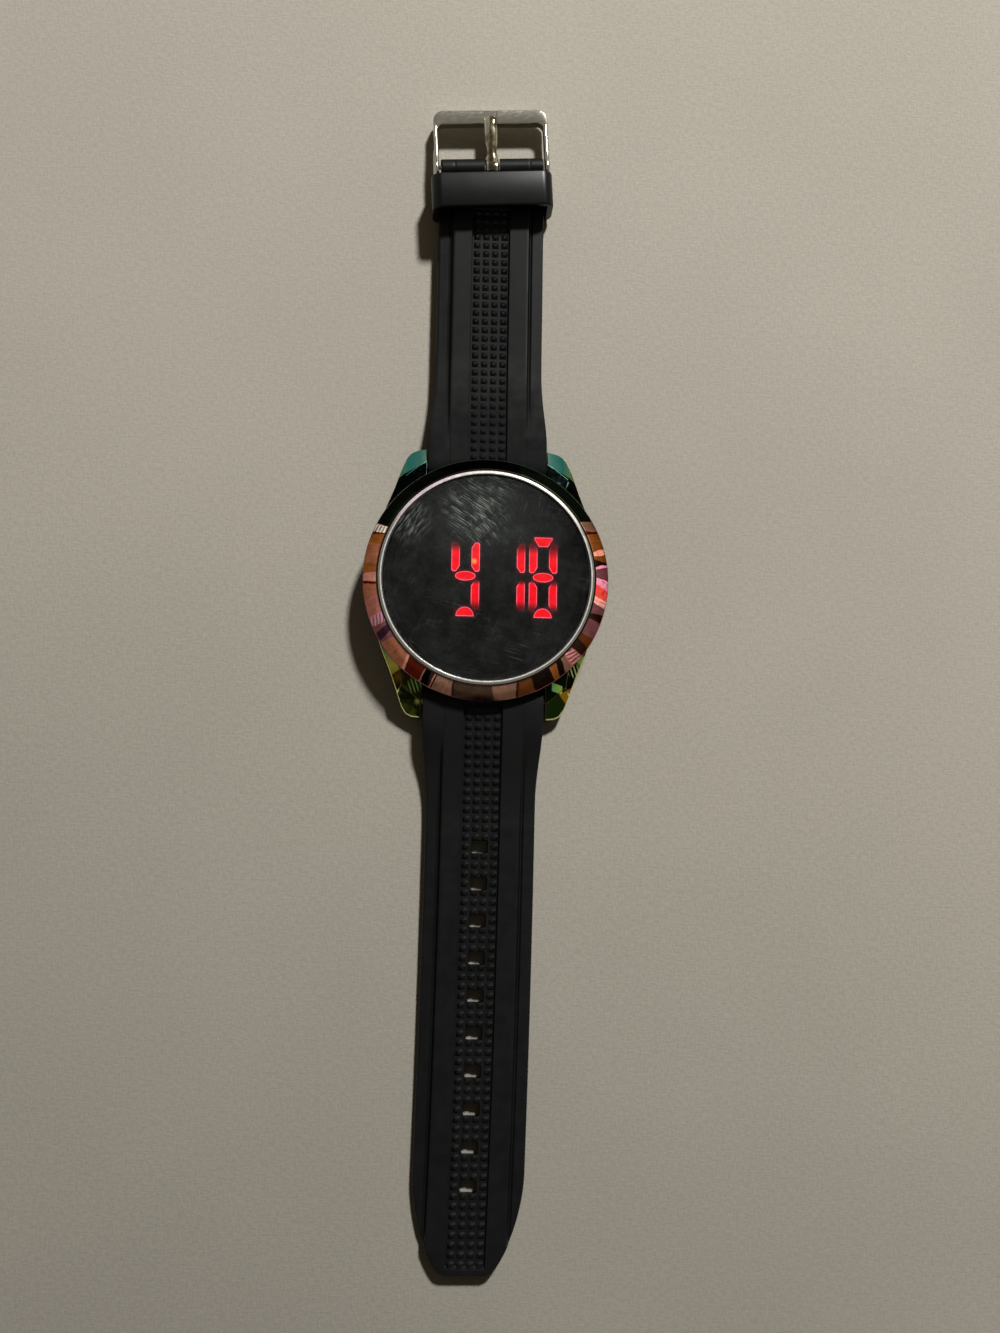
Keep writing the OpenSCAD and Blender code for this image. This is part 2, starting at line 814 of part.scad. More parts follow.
// One end of a spring bar: a plunger in the tube, a shoulder and a pin of the given length
module bar_tip(place, half, side, pin_l) {
    shoulder = half - slip;
    color("silver") translate(place) mirror([side < 0 ? 1 : 0, 0, 0]) {
        rod(shoulder - shoulder_t - plunger_l, shoulder - shoulder_t, tube_r - tube_wall - run);
        rod(shoulder - shoulder_t, shoulder, tube_r - seat);
        rod(shoulder, shoulder + pin_l, pin_r);
    }
}

lug_pin_l = pin_seat + slip;
buckle_pin_l = arm_in - buckle_half + arm_t - slip;

module upper_bar_tube() { bar_tube(upper_bar, lug_half); }
module upper_bar_spring() { bar_spring(upper_bar, lug_half); }
module upper_bar_left_tip() { bar_tip(upper_bar, lug_half, -1, lug_pin_l); }
module upper_bar_right_tip() { bar_tip(upper_bar, lug_half, 1, lug_pin_l); }
module lower_bar_tube() { bar_tube(lower_bar, lug_half); }
module lower_bar_spring() { bar_spring(lower_bar, lug_half); }
module lower_bar_left_tip() { bar_tip(lower_bar, lug_half, -1, lug_pin_l); }
module lower_bar_right_tip() { bar_tip(lower_bar, lug_half, 1, lug_pin_l); }
module buckle_bar_tube() { bar_tube(buckle_bar, buckle_half); }
module buckle_bar_spring() { bar_spring(buckle_bar, buckle_half); }
module buckle_bar_left_tip() { bar_tip(buckle_bar, buckle_half, -1, buckle_pin_l); }
module buckle_bar_right_tip() { bar_tip(buckle_bar, buckle_half, 1, buckle_pin_l); }

case_middle();
case_back();
back_gasket();
back_screws();
bezel();
glass_ring();
glass_gasket();
glass();
display_mask();
light_box();
hour_digit();
tens_digit();
units_digit();
dark_segments();
display_board();
driver_chip();
timing_crystal();
touch_spring();
movement_holder();
coin_cell();
cell_clip();
cell_contact();
buckle_strap();
hole_strap();
keeper();
buckle_frame();
buckle_tongue();
upper_bar_tube();
upper_bar_spring();
upper_bar_left_tip();
upper_bar_right_tip();
lower_bar_tube();
lower_bar_spring();
lower_bar_left_tip();
lower_bar_right_tip();
buckle_bar_tube();
buckle_bar_spring();
buckle_bar_left_tip();
buckle_bar_right_tip();
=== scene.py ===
import json
import math

import bmesh
import bpy
import numpy as np
from mathutils import Matrix, Vector


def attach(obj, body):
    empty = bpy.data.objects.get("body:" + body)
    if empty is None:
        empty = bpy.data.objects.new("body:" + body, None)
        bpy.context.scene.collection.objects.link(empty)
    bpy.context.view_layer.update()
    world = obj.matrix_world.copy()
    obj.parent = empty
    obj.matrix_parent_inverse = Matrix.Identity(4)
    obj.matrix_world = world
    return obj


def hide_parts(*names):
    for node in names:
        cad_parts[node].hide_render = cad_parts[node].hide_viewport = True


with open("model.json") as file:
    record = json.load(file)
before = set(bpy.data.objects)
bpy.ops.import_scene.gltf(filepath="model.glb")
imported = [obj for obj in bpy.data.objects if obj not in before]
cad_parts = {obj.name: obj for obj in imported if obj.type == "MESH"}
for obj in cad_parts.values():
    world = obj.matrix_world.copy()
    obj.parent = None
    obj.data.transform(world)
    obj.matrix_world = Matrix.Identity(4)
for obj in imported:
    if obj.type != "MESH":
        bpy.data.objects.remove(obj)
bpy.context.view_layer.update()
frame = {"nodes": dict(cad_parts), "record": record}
nodes = frame["nodes"]

MM = 0.001

# Sizes of the watch in millimetres, as the solids have them
BAR_Y, BAR_Z = 22.0, 3.3
STRAP_W, LUG_W = 20.0, 22.1
STRAP_T, TIP_T = 3.0, 2.4
LUG_END_R, BUCKLE_END_R = 2.6, 2.0
BUCKLE_LEN, HOLE_LEN = 58.6, 101.8
TIP_W, TIP_LEN = 8.0, 17.1
BLEND_L, LANDING_L = 22.0, 12.0
MARGIN_DROP, BAND_DROP = 0.9, 0.7
LIFT = 1.45
BUCKLE_Y, BUCKLE_Z = 80.6, 3.4
BUCKLE_END_W = 19.6
HOLES, HOLE_PITCH, HOLE_FIRST = 10, 6.67, 26.5
HOLE_W, HOLE_L, HOLE_CORNER = 2.9, 2.3, 0.35
BORE_R, BORE_HALF = 0.95, 14
SLOT_W, SLOT_BACK = 3.0, 2.7
KEEPER_Y, KEEPER_L, KEEPER_T, KEEPER_ROOM, KEEPER_IN_W = 71.4, 6.7, 1.2, 6.0, 20.5
KEEPER_BACK = 2.5
DIGIT_Y = 0.43
DIGIT_X = (-9.7, -3.8, 4.5, 10.4)
DIGIT_H, DIGIT_W, SEG_W = 14.9, 5.25, 1.6
MASK_Z, MASK_T, MASK_R = 8.2, 0.3, 17.2
RING_R, RING_TOP = 19.7, 10.5
SPIGOT_TOP, CASE_TOP = 8.3, 6.8
FRAME_HALF, ARM_T, FRAME_CORNER = 11.0, 0.85, 2.0
FRAME_REACH, FAR_BAR_W, FAR_TOP, FAR_LOW = 11.9, 2.7, 0.45, -1.85
EAR_R, ARM_HALF_H, SHOULDER, PIN_HOLE_R = 1.8, 1.7, 2.5, 0.45
NOTCH_W, NOTCH_D = 2.7, 0.35
TONGUE_HALF, HUB_R, TONGUE_TIP = 1.25, 1.75, 10.7

# How the watch lies and shines in the photograph, angles in degrees seen from above
BUCKLE_ASKEW, KEEPER_ASKEW = 3.0, 3.6
CURL = 1.5
# How far the bezel's painted reflections are brightened
GLEAM = 1.85
GLASS_GAIN = 5.0

# How finely the meshes are made
LATHE_TURNS, ROD_TURNS, HUB_TURNS, BLADE_POINTS, ARC_POINTS = 256, 32, 40, 24, 24
STRAP_ANGLE, FRAME_ANGLE, TURNED_ANGLE = 28.0, 40.0, 50.0
WELD = 0.002
FILM_STEP = 0.16


def ease(t):
    u = min(max(t, 0.0), 1.0)
    return u * u * (3 - 2 * u)


def mix(a, b, t):
    return a + (b - a) * ease(t)


def srgb(r, g, b):
    """A colour given as 0 to 255, as linear values."""
    def one(v):
        v = v / 255
        return v / 12.92 if v <= 0.04045 else ((v + 0.055) / 1.055) ** 2.4
    return one(r), one(g), one(b)


# Materials


def arithmetic(operation, swapped=False):
    """A method that adds a Math node for a value and whatever it meets."""
    def method(self, *others):
        return self.shader.math(operation, *((*others, self) if swapped else (self, *others)))
    return method


class Value:
    """An output of a shader node. Arithmetic on it adds Math nodes."""

    __add__, __radd__ = arithmetic("ADD"), arithmetic("ADD", swapped=True)
    __sub__, __rsub__ = arithmetic("SUBTRACT"), arithmetic("SUBTRACT", swapped=True)
    __mul__, __truediv__ = arithmetic("MULTIPLY"), arithmetic("DIVIDE")
    __gt__, __lt__ = arithmetic("GREATER_THAN"), arithmetic("LESS_THAN")
    __abs__ = arithmetic("ABSOLUTE")

    def __init__(self, shader, socket):
        self.shader, self.socket = shader, socket

    def beside(self, name):
        """Another output of the same node."""
        return Value(self.shader, self.socket.node.outputs[name])


class Shader:
    """The nodes of a material or of the world, built up in short calls."""

    def __init__(self, owner, end="Principled BSDF", where="Object", **sockets):
        owner.use_nodes = True
        self.tree = owner.node_tree
        self.end = self.tree.nodes[end]
        self.where = self.make("TexCoord", {}, where)
        for key, value in sockets.items():
            self.set(key.replace("_", " "), value)

    def plug(self, socket, value):
        if isinstance(value, Value):
            self.tree.links.new(value.socket, socket)
        elif hasattr(value, "__len__") and len(value) == 3 and socket.type == "RGBA":
            socket.default_value = (*value, 1.0)
        else:
            socket.default_value = value

    def make(self, kind, inputs, output=0, **settings):
        """Adds a node with the settings and inputs given, and returns one of its outputs."""
        made = self.tree.nodes.new("ShaderNode" + kind)
        for key, value in settings.items():
            setattr(made, key, value)
        for key, value in inputs.items():
            self.plug(made.inputs[key], value)
        return Value(self, made.outputs[output])

    def set(self, name, value):
        self.plug(self.end.inputs[name], value)

    def math(self, operation, *values, clamp=False):
        return self.make("Math", dict(enumerate(values)), operation=operation, use_clamp=clamp)

    def larger(self, a, b):
        return self.math("MAXIMUM", a, b)

    def xyz(self, vector=None):
        first = self.make("SeparateXYZ", {0: self.where if vector is None else vector})
        return first, first.beside("Y"), first.beside("Z")

    def length(self, x, y):
        return self.math("SQRT", x * x + y * y)

    def near(self, cx, cy, inner, outer):
        """1 within inner millimetres of a point seen from above, falling to 0 at outer."""
        x, y, _ = self.xyz()
        far = self.length(x - cx * MM, y - cy * MM)
        return self.span(far, inner * MM, outer * MM, 1.0, 0.0)

    def span(self, value, low, high, to_low=0.0, to_high=1.0, smooth=True):
        """The value's range from low to high, spread over the range from to_low to to_high."""
        return self.make("MapRange", {
            "Value": value, "From Min": low, "From Max": high, "To Min": to_low,
            "To Max": to_high}, "Result", interpolation_type="SMOOTHSTEP" if smooth else "LINEAR")

    def noise(self, scale, detail=3.0, rough=0.55, vector=None, warp=0.0):
        return self.make("TexNoise", {
            "Vector": self.where if vector is None else vector, "Scale": scale,
            "Detail": detail, "Roughness": rough, "Distortion": warp}, "Fac")

    def mottle(self, scale, detail, low=0.0, high=1.0, **kind):
        """Noise whose usual range is spread over low to high."""
        return self.span(self.noise(scale, detail, **kind), 0.3, 0.7, low, high)

    def grain(self, scale, turn=0.0, detail=2, rough=0.6, warp=0.0):
        """Noise with a scale for each axis, the first of which runs at turn degrees from X."""
        place = self.make("Mapping", {
            "Vector": self.where, "Rotation": (0, 0, math.radians(turn)),
            "Scale": [1 / v for v in scale]}, vector_type="TEXTURE")
        return self.noise(1, detail, rough, place, warp)

    def line(self, frequency, value, detail=2.0):
        """Noise along one value only."""
        return self.make("TexNoise", {"W": value, "Scale": frequency, "Detail": detail}, "Fac",
                         noise_dimensions="1D")

    def specks(self, spacing, size, share):
        """Sparse dust: 1 inside the specks, which lie spacing apart before most are left out."""
        distance = self.make("TexVoronoi", {"Vector": self.where, "Scale": 1 / (spacing * MM)},
                             "Distance", feature="F1")
        return (distance < size / spacing) * (self.xyz(distance.beside("Color"))[0] < share)

    def ramp(self, value, stops, steps=False):
        made = self.make("ValToRGB", {"Fac": value}, "Color")
        band = made.socket.node.color_ramp
        band.interpolation = "CONSTANT" if steps else "LINEAR"
        while len(band.elements) < len(stops):
            band.elements.new(0.5)
        for element, (place, colour) in zip(band.elements, stops):
            element.position = place
            element.color = (*colour, 1.0)
        return made

    def tints(self, value, *stops):
        """A ramp over stops of (place, red, green, blue), with colours from 0 to 255."""
        return self.ramp(value, [(place, srgb(*colour)) for place, *colour in stops])

    def blend(self, factor, a, b):
        return self.make("Mix", {0: factor, 6: a, 7: b}, 2, data_type="RGBA")

    def dim(self, colour, strength):
        return self.make("VectorMath", {0: colour, "Scale": strength}, operation="SCALE")

    def finish(self, colour, roughness=None, relief=None, depth=0.0, strength=0.5):
        """Sets the colour, the roughness, and a relief that is depth millimetres deep."""
        self.set("Base Color", colour)
        if roughness is not None:
            self.set("Roughness", roughness)
        if relief is not None:
            self.set("Normal", self.make("Bump", {
                "Strength": strength, "Distance": depth * MM, "Height": relief}, "Normal"))


paints = {}


def material(name, **sockets):
    paints[name] = bpy.data.materials.new(name)
    return Shader(paints[name], **sockets)


def rubber(name, dark, light, roughness, dust, shine, sheen, strap):
    s = material(name, Specular_IOR_Level=shine)
    x, y, _ = s.xyz()
    colour = s.blend(s.mottle(180, 4, rough=0.6), dark, light)
    rough = s.mottle(420, 3, roughness - sheen, roughness + sheen)
    if strap:
        # Duller towards the lugs, and a painted highlight along the right flat's edge, broken up
        # in patches
        rough = rough + s.span(abs(y), 30 * MM, 48 * MM, 0.3, 0.0)
        edge = s.span(abs(x - 7.08 * MM), 0.05 * MM, 0.1 * MM, 1.0, 0.0)
        patchiness = s.span(s.noise(120, 3), 0.35, 0.6, 0.4, 1.0)
        painted_edge_highlight = edge * s.span(y, 34 * MM, 48 * MM) * patchiness
        colour = s.blend(painted_edge_highlight, colour, (0.045, 0.045, 0.042))
    colour = s.blend(s.specks(2.4, 0.05, dust), colour, (0.12, 0.12, 0.11))
    s.finish(colour, rough, s.noise(5200, 2, 0.6), 0.012)


def polished_paint():
    """Polished steel with fine wear that runs mostly one way."""
    s = material("polished_steel", Metallic=1.0)
    lines = s.grain((700, 9000, 2500), turn=20)
    colour = s.blend(s.mottle(260, 3), (0.5766, 0.5487, 0.465), (0.62, 0.59, 0.5))
    s.finish(colour, s.span(lines, 0.35, 0.75, 0.119, 0.196), lines, 0.003)


def tongue_paint():
    """The tongue's polished top, with painted reflections: brown and gold clouds of a dim room,
    darker along the middle and lighter towards the sides.
    """
    s = material("tongue_steel", Metallic=1.0)
    x, _, _ = s.xyz()
    cloud = s.grain((520, 300, 400), detail=3, warp=0.8)
    # Painted reflection: darker along the middle, lighter towards the sides
    middle = s.span(abs(x), 0.35 * MM, 0.95 * MM, -0.16, 0.08)
    tint = s.ramp(cloud + middle, [
        (0.34, (0.16, 0.13, 0.08)), (0.46, (0.4, 0.35, 0.23)), (0.6, (0.74, 0.69, 0.54))])
    s.finish(tint, s.mottle(800, 3, 0.08, 0.16), s.grain((2500, 500, 2500)), 0.004, 0.4)


def plain(name, colour, roughness, grain, metal=0.0):
    """A moulded, pressed or plated finish with a slight mottle and grain."""
    s = material(name, Metallic=metal)
    tint = s.blend(s.mottle(grain / 4, 3), [c * 0.85 for c in colour], colour)
    rough = s.mottle(grain, 3, roughness * 0.85, roughness * 1.15)
    s.finish(tint, rough, s.noise(grain * 4, 2), 0.01)


# Tints of the bezel's painted reflections, from 0 to 255
TINTS = {
    "night": (3, 5, 3), "moss": (18, 27, 14), "black": (26, 17, 13), "soot": (44, 27, 23),
    "bark": (64, 49, 39), "wine": (74, 24, 15), "plum": (54, 32, 46), "rust": (92, 52, 24),
    "gold": (132, 80, 42), "copper": (146, 92, 70), "dusk": (124, 92, 78), "mauve": (116, 72, 78),
    "rose": (156, 98, 90), "coral": (192, 54, 46), "peach": (250, 150, 125),
    "blush": (206, 140, 128), "shell": (250, 150, 178), "cream": (250, 212, 186),
}
# Where each patch of painted reflection begins, in degrees clockwise from twelve o'clock
WEST_PATCHES = (
    (-180, "bark"), (-165.5, "soot"), (-164, "dusk"), (-155.3, "night"), (-154.6, "rose"),
    (-153.8, "soot"), (-152.5, "night"), (-148.8, "dusk"), (-148, "wine"), (-138.8, "blush"),
    (-137.8, "copper"), (-124, "mauve"), (-121.8, "plum"), (-118, "mauve"), (-115, "shell"),
    (-110, "rose"), (-101, "copper"), (-94.5, "wine"), (-93.5, "blush"), (-88.8, "gold"),
    (-84, "copper"), (-74, "gold"), (-69, "wine"), (-68, "cream"), (-64.4, "moss"),
    (-42, "night"),
)
EAST_PATCHES = (
    (0, "night"), (15.5, "moss"), (58.5, "dusk"), (64.6, "wine"), (66, "gold"),
    (74, "peach"), (77, "gold"), (80, "soot"), (82, "shell"), (83.6, "mauve"),
    (88.8, "shell"), (93.3, "coral"), (98.6, "blush"), (102, "mauve"), (106.3, "soot"),
    (110, "mauve"), (118.6, "rust"), (122.5, "soot"), (127.6, "rose"), (135, "dusk"),
    (137.6, "black"), (141, "gold"), (144.4, "black"), (155, "rust"), (163, "soot"),
    (164.4, "dusk"), (175.5, "bark"),
)
# The pale painted highlights with fine lines: centre and half width in degrees, slant, tint
LINED_PATCHES = ((-66.2, 1.7, 0.02, (1.0, 0.86, 0.76)), (-112.5, 2.3, 0.12, (1.0, 0.5, 0.66)),
                 (131.2, 2.6, 0.1, (1.0, 0.42, 0.42)))
LINE_PITCH = 0.62


def bezel_paint():
    """Iridescent mirror plating, its tint in crisp patches round the ring that are partly the
    plating's colour and partly painted reflections, with a painted dark reflection at twelve.
    """
    s = material("copper_metal", Specular_IOR_Level=0.25, Specular_Tint=(0, 0, 0, 1))
    x, y, _ = s.xyz()
    angle = s.math("ARCTAN2", x, y) * (180 / math.pi)
    out = s.length(x, y) * (1 / MM)
    lean = (out - 21.3) * s.span(s.line(0.09, angle), 0.35, 0.65, -0.9, 0.9)
    wobble = (s.noise(900, 2) - 0.5) * 0.9
    place = angle + lean + wobble

    def bright(tint):
        colour = srgb(*TINTS[tint])
        return [v * min(GLEAM, 0.97 / max(colour)) for v in colour]

    west = s.ramp(place / 180 + 1.0, [(a / 180 + 1, bright(c)) for a, c in WEST_PATCHES],
                  steps=True)
    east = s.ramp(place / 180, [(a / 180, bright(c)) for a, c in EAST_PATCHES], steps=True)
    tint = s.blend(place > 0.0, west, east)
    for centre, half, slant, shine in LINED_PATCHES:
        inside = abs(place - centre) < half
        row = out + (angle - centre) * slant + s.noise(600, 2) * 0.5
        wave = s.math("SINE", row * (2 * math.pi / LINE_PITCH))
        tint = s.blend(inside, tint, shine)
        dark = [0.42 * v ** 1.3 for v in shine]
        tint = s.blend(inside * s.span(wave, 0.3, -0.5), tint, dark)
    # Streaks and clouds through the painted reflections, brighter towards the glass
    streak = s.span(s.line(0.9, place, 3), 0.3, 0.7, 0.86, 1.12, smooth=False)
    cloud = s.mottle(700, 4, 0.82, 1.16, rough=0.6, warp=0.5)
    along = s.span(out, 20.3, 22.3, 1.12, 0.86, smooth=False)
    tint = s.dim(tint, streak * cloud * along)
    # Painted reflections on the rounded outer rim, then painted shade on the step at the glass
    # ring
    rim = s.blend(s.span(abs(angle), 60, 66), srgb(182, 192, 176), srgb(176, 120, 132))
    tint = s.blend(s.span(out, 22.36, 22.4), tint, rim)
    tint = s.blend(s.span(out, 20.04, 19.98), tint, srgb(34, 25, 22))
    sunny = s.span(angle, -90, -70)
    s.set("Metallic", 0.92 - sunny * s.span(s.xyz(tint)[0], 0.55, 0.95, 0.0, 0.82))
    rough = s.larger(s.mottle(700, 4, 0.1, 0.18), s.span(out, 20.1, 20.04, 0.0, 0.45))
    s.finish(tint, rough, s.grain((2500, 2500, 9000)), 0.003, 0.4)


def ring_paint():
    """The polished ring round the glass, with painted highlights: bright at its inner edge and all
    over at twelve, with a painted pink reflection to the upper left.
    """
    s = material("ring_steel")
    x, y, _ = s.xyz()
    inner = s.span(s.length(x, y), 19.36 * MM, 19.28 * MM)
    pale = s.larger(inner, s.span(y, 8 * MM, 13 * MM))
    patchiness = s.mottle(420, 3, 0.0, 0.5)
    # A painted pink reflection to the upper left
    pink = s.span(x, -2 * MM, -9 * MM) * s.span(y, 2 * MM, 10 * MM)
    light = s.blend(pink * 0.8, (0.9, 0.88, 0.82), (0.9, 0.72, 0.84))
    light = s.blend(patchiness, light, (0.72, 0.7, 0.66))
    grey = s.blend(patchiness, (0.5, 0.48, 0.42), (0.36, 0.34, 0.3))
    s.set("Metallic", s.span(pale, 0.0, 1.0, 1.0, 0.45))
    s.finish(s.blend(pale, grey, light), s.mottle(900, 3, 0.2, 0.3),
             s.grain((700, 9000, 2500)), 0.002, 0.2)


def lug_paint():
    """The oil-slick plating of the mid-case, partly its own tint and partly painted reflections:
    teal lug ends above, green and gold ones below.
    """
    s = material("oiled_metal", Metallic=0.9, Specular_IOR_Level=0.3, Specular_Tint=(0, 0, 0, 1))
    x, y, z = s.xyz()
    side, reach = abs(x) * (1 / MM), abs(y) * (1 / MM)
    right = x > 0.0
    swirl = s.noise(230, 3, 0.5, warp=0.6)
    # How far a point lies beyond the crease between a lug's two upper facets
    beyond = s.span(side * 0.505 + reach * 0.863, 24.8, 24.9)
    along = s.span(side + (swirl - 0.5) * 1.2, 11, 17, smooth=False)
    # Twelve o'clock, in painted reflections: teal lug ends beyond the crease, dark inner facets
    # before it
    teal_right = s.tints(along, (0.0, 140, 182, 170), (0.18, 96, 158, 148), (0.5, 58, 134, 128),
                         (0.72, 104, 146, 104), (0.95, 150, 166, 100))
    teal_left = s.tints(along, (0.0, 132, 178, 164), (0.2, 84, 146, 140), (0.6, 62, 138, 134),
                        (0.85, 104, 150, 110), (1.0, 134, 160, 106))
    night = s.blend(s.span(s.noise(1300, 4), 0.6, 0.75), srgb(5, 9, 8), srgb(30, 52, 50))
    upper = s.blend(beyond, night, s.blend(right, teal_left, teal_right))
    # Six o'clock, left, in painted reflections: an olive flank, then a dark slope with gold and
    # green lights, and a pale spot near the lug's end
    olive = s.tints(s.span(reach, 11.5, 17.2, smooth=False), (0.0, 78, 96, 92),
                    (0.35, 112, 136, 84), (0.8, 176, 168, 74), (1.0, 150, 138, 52))
    slope = s.blend(s.near(-15.6, -18.1, 0.0, 1.5), srgb(38, 36, 14), srgb(96, 74, 20))
    stripes = s.math("SINE", (side + reach * 0.35) * 9.0)
    lights = s.near(-12.7, -19.6, 0.7, 1.7) * s.span(stripes, -0.1, 0.5)
    slope = s.blend(lights, slope, srgb(120, 160, 84))
    flank = s.span(reach - side * 0.55, 8.2, 8.5)
    end_left = s.blend(s.span(swirl, 0.46, 0.62), srgb(18, 22, 9), srgb(74, 82, 30))
    end_left = s.blend(s.near(-12.0, -22.4, 0.0, 0.8), end_left, srgb(128, 132, 70))
    lower_left = s.blend(beyond, s.blend(flank, olive, slope), end_left)
    # Six o'clock, right, in painted reflections: pale green patches along the bezel and a window's
    # panes, then green with a gold wedge
    bars = s.math("SINE", (side - reach * 0.45) * 7.5)
    bars = s.span(bars, 0.25, 0.5) * s.near(16.4, -16.2, 0.9, 1.5)
    facet = s.blend(bars, srgb(18, 28, 13), srgb(178, 196, 128))
    facet = s.blend(s.near(18.0, -14.3, 0.5, 1.4), facet, srgb(146, 190, 96))
    window = (abs(side - 13.4) < 0.95) * (abs(reach + side * -0.35 - 14.95) < 0.75)
    pane = s.tints(s.span(side, 12.4, 14.4, smooth=False), (0.0, 130, 214, 170),
                   (0.5, 176, 232, 96), (1.0, 214, 240, 120))
    facet = s.blend(window, facet, pane)
    wedge = s.span(side - reach * 0.93, -5.5, -5.35)
    end_right = s.blend(wedge, srgb(30, 46, 16), srgb(164, 122, 26))
    lower = s.blend(right, lower_left, s.blend(beyond, facet, end_right))
    colour = s.blend(y > 0.0, lower, upper)
    below = s.tints(swirl, (0.35, 52, 62, 28), (0.6, 34, 74, 68))
    colour = s.blend(s.span(z, 2.2 * MM, 2.6 * MM), below, colour)
    s.finish(colour, s.mottle(800, 3, 0.12, 0.2), s.noise(3000, 2), 0.002, 0.4)


def edge_paint():
    """The narrow polished edges of the mid-case, with painted reflections: dim teal-green above,
    dim olive below, and a painted highlight round the ends of the lower lugs.
    """
    s = material("edge_metal", Specular_IOR_Level=0.3)
    x, y, z = s.xyz()
    patchiness = s.mottle(500, 3, 0.0, 0.4)
    north = s.blend(patchiness, srgb(52, 84, 76), srgb(84, 108, 92))
    faint = s.blend(patchiness, srgb(62, 58, 28), srgb(112, 88, 64))
    shine = s.blend(patchiness, srgb(232, 238, 150), srgb(250, 250, 206))
    # Painted highlight on the outline of the lower lugs' ends
    outer = s.span(abs(x), 11.5 * MM, 11.9 * MM) * s.span(z, 5.6 * MM, 5.0 * MM) * (y < 0.0)
    s.set("Metallic", s.span(outer, 0, 1, 0.6, 1.0))
    s.finish(s.blend(outer, s.blend(y > 0.0, faint, north), shine),
             s.span(outer, 0, 1, 0.42, 0.14), s.noise(3000, 2), 0.002, 0.4)


def glass_paint():
    """Black mirror glass with handling marks: scratches up to the left, smears elsewhere."""
    s = material("dark_glass", Alpha=0.55, IOR=1.5, Coat_Weight=0.0)

    def scratches(turn, along, across, low, high):
        return s.span(s.grain((along, across, 1), turn, rough=0.55), low, high)

    gaps = s.span(s.noise(480, 4, 0.65), 0.36, 0.6)
    main = scratches(-33, 200, 4200, 0.52, 0.62) * s.near(-2.4, 12.6, 1.5, 7.5)
    steep = scratches(-52, 260, 4600, 0.54, 0.64) * s.near(-0.5, 9.8, 1, 6)
    top = scratches(-25, 280, 4000, 0.52, 0.64) * s.near(1.8, 16.6, 1, 4.5)
    left = scratches(56, 420, 3400, 0.48, 0.6) * s.near(-14.2, 10.2, 0.3, 5.2)
    right = scratches(78, 300, 2600, 0.52, 0.75) * s.near(9.5, 12.5, 1, 6.5)
    wide = s.larger(scratches(-15, 160, 4400, 0.58, 0.7), scratches(62, 180, 4700, 0.6, 0.72))
    wide = wide * s.span(s.noise(170, 3), 0.42, 0.62)
    marks = (main + steep * 0.7 + wide * 0.2 + top * 0.45 + right * 0.14) * gaps
    marks = s.math("ADD", marks, left * 0.6, clamp=True)
    fog = s.noise(330, 6, 0.72, warp=0.4) * s.near(0, 14, 4, 19)
    smear = s.span(s.noise(260, 7, 0.75, warp=0.5), 0.35, 0.75, 0.0, 0.5) + fog
    fine = s.mottle(3800, 3, 0.6, 1.4, rough=0.7)
    base = s.blend(smear * fine, srgb(5, 6, 6), srgb(60, 64, 63))
    base = s.blend(marks, base, srgb(168, 174, 168))
    base = s.blend(s.specks(2.6, 0.045, 0.08), base, srgb(190, 190, 180))
    s.finish(base, s.span(smear, 0, 1, 0.05, 0.16))


def lit_paint():
    """Red light bars that die away towards their far ends, with a pale pink outline."""
    s = material("lit_red", Roughness=0.4)
    _, y, _ = s.xyz()
    rim, far_fade, near_fade = s.xyz(s.make("Attribute", {}, "Color", attribute_name="bar"))
    out = abs((y - DIGIT_Y * MM) * (1 / MM))
    end = s.span(out, 6.3, 5.9 - far_fade * 3.2)
    start = s.span(out, 0.7, 0.9 + near_fade * 1.6)
    keep = (s.larger(end, 1.0 - (far_fade > 0.01))) * s.larger(start, 1.0 - (near_fade > 0.01))
    red = s.blend(rim, (0.92, 0.0, 0.008), (1.0, 0.15, 0.23))
    red = s.blend(s.near(-2.25, 3.15, 0.1, 0.75), red, (1.0, 0.3, 0.07))
    red = s.blend(s.near(3.3, 3.2, 0.05, 0.4) * 0.5, red, (1.0, 0.1, 0.1))
    keep = s.span(s.math("POWER", keep, 1.7), 0, 1, 0.06, 1.0, smooth=False)
    s.set("Emission Color", s.blend(keep, (0.02, 0.001, 0.002), red))
    s.set("Emission Strength", s.mottle(700, 2, 0.86, 1.1) * GLASS_GAIN)
    s.finish((0.25, 0.01, 0.02))


def mask_paint():
    """Matt black film, with a painted red glow that it emits round the lit bars."""
    s = material("black_film", Roughness=0.7, Emission_Strength=GLASS_GAIN)
    spill = s.make("Attribute", {}, "Fac", attribute_name="spill")
    s.set("Emission Color", s.blend(spill, (0, 0, 0), (0.06, 0.0, 0.002)))
    black = s.blend(s.noise(900, 3), (0.006, 0.006, 0.006), (0.012, 0.012, 0.012))
    s.finish(black, None, s.noise(5000, 2), 0.004, 0.4)


def back_paint():
    """The case back: steel brushed in circles."""
    s = material("brushed_steel", Metallic=1.0)
    x, y, _ = s.xyz()
    lines = s.line(9000, s.length(x, y), 4)
    s.finish(s.blend(lines, srgb(176, 176, 174), srgb(205, 205, 202)),
             s.span(lines, 0.3, 0.7, 0.24, 0.38), lines, 0.006)


def board_paint():
    s = material("board", Roughness=0.35)
    cells = s.make("TexBrick", {
        "Vector": s.where, "Scale": 330, "Mortar Size": 0.035, "Color1": (0.01, 0.09, 0.035),
        "Color2": (0.012, 0.11, 0.045), "Mortar": (0.03, 0.2, 0.08)}, "Color")
    s.finish(cells, None, cells.beside("Fac"), 0.02, 0.4)


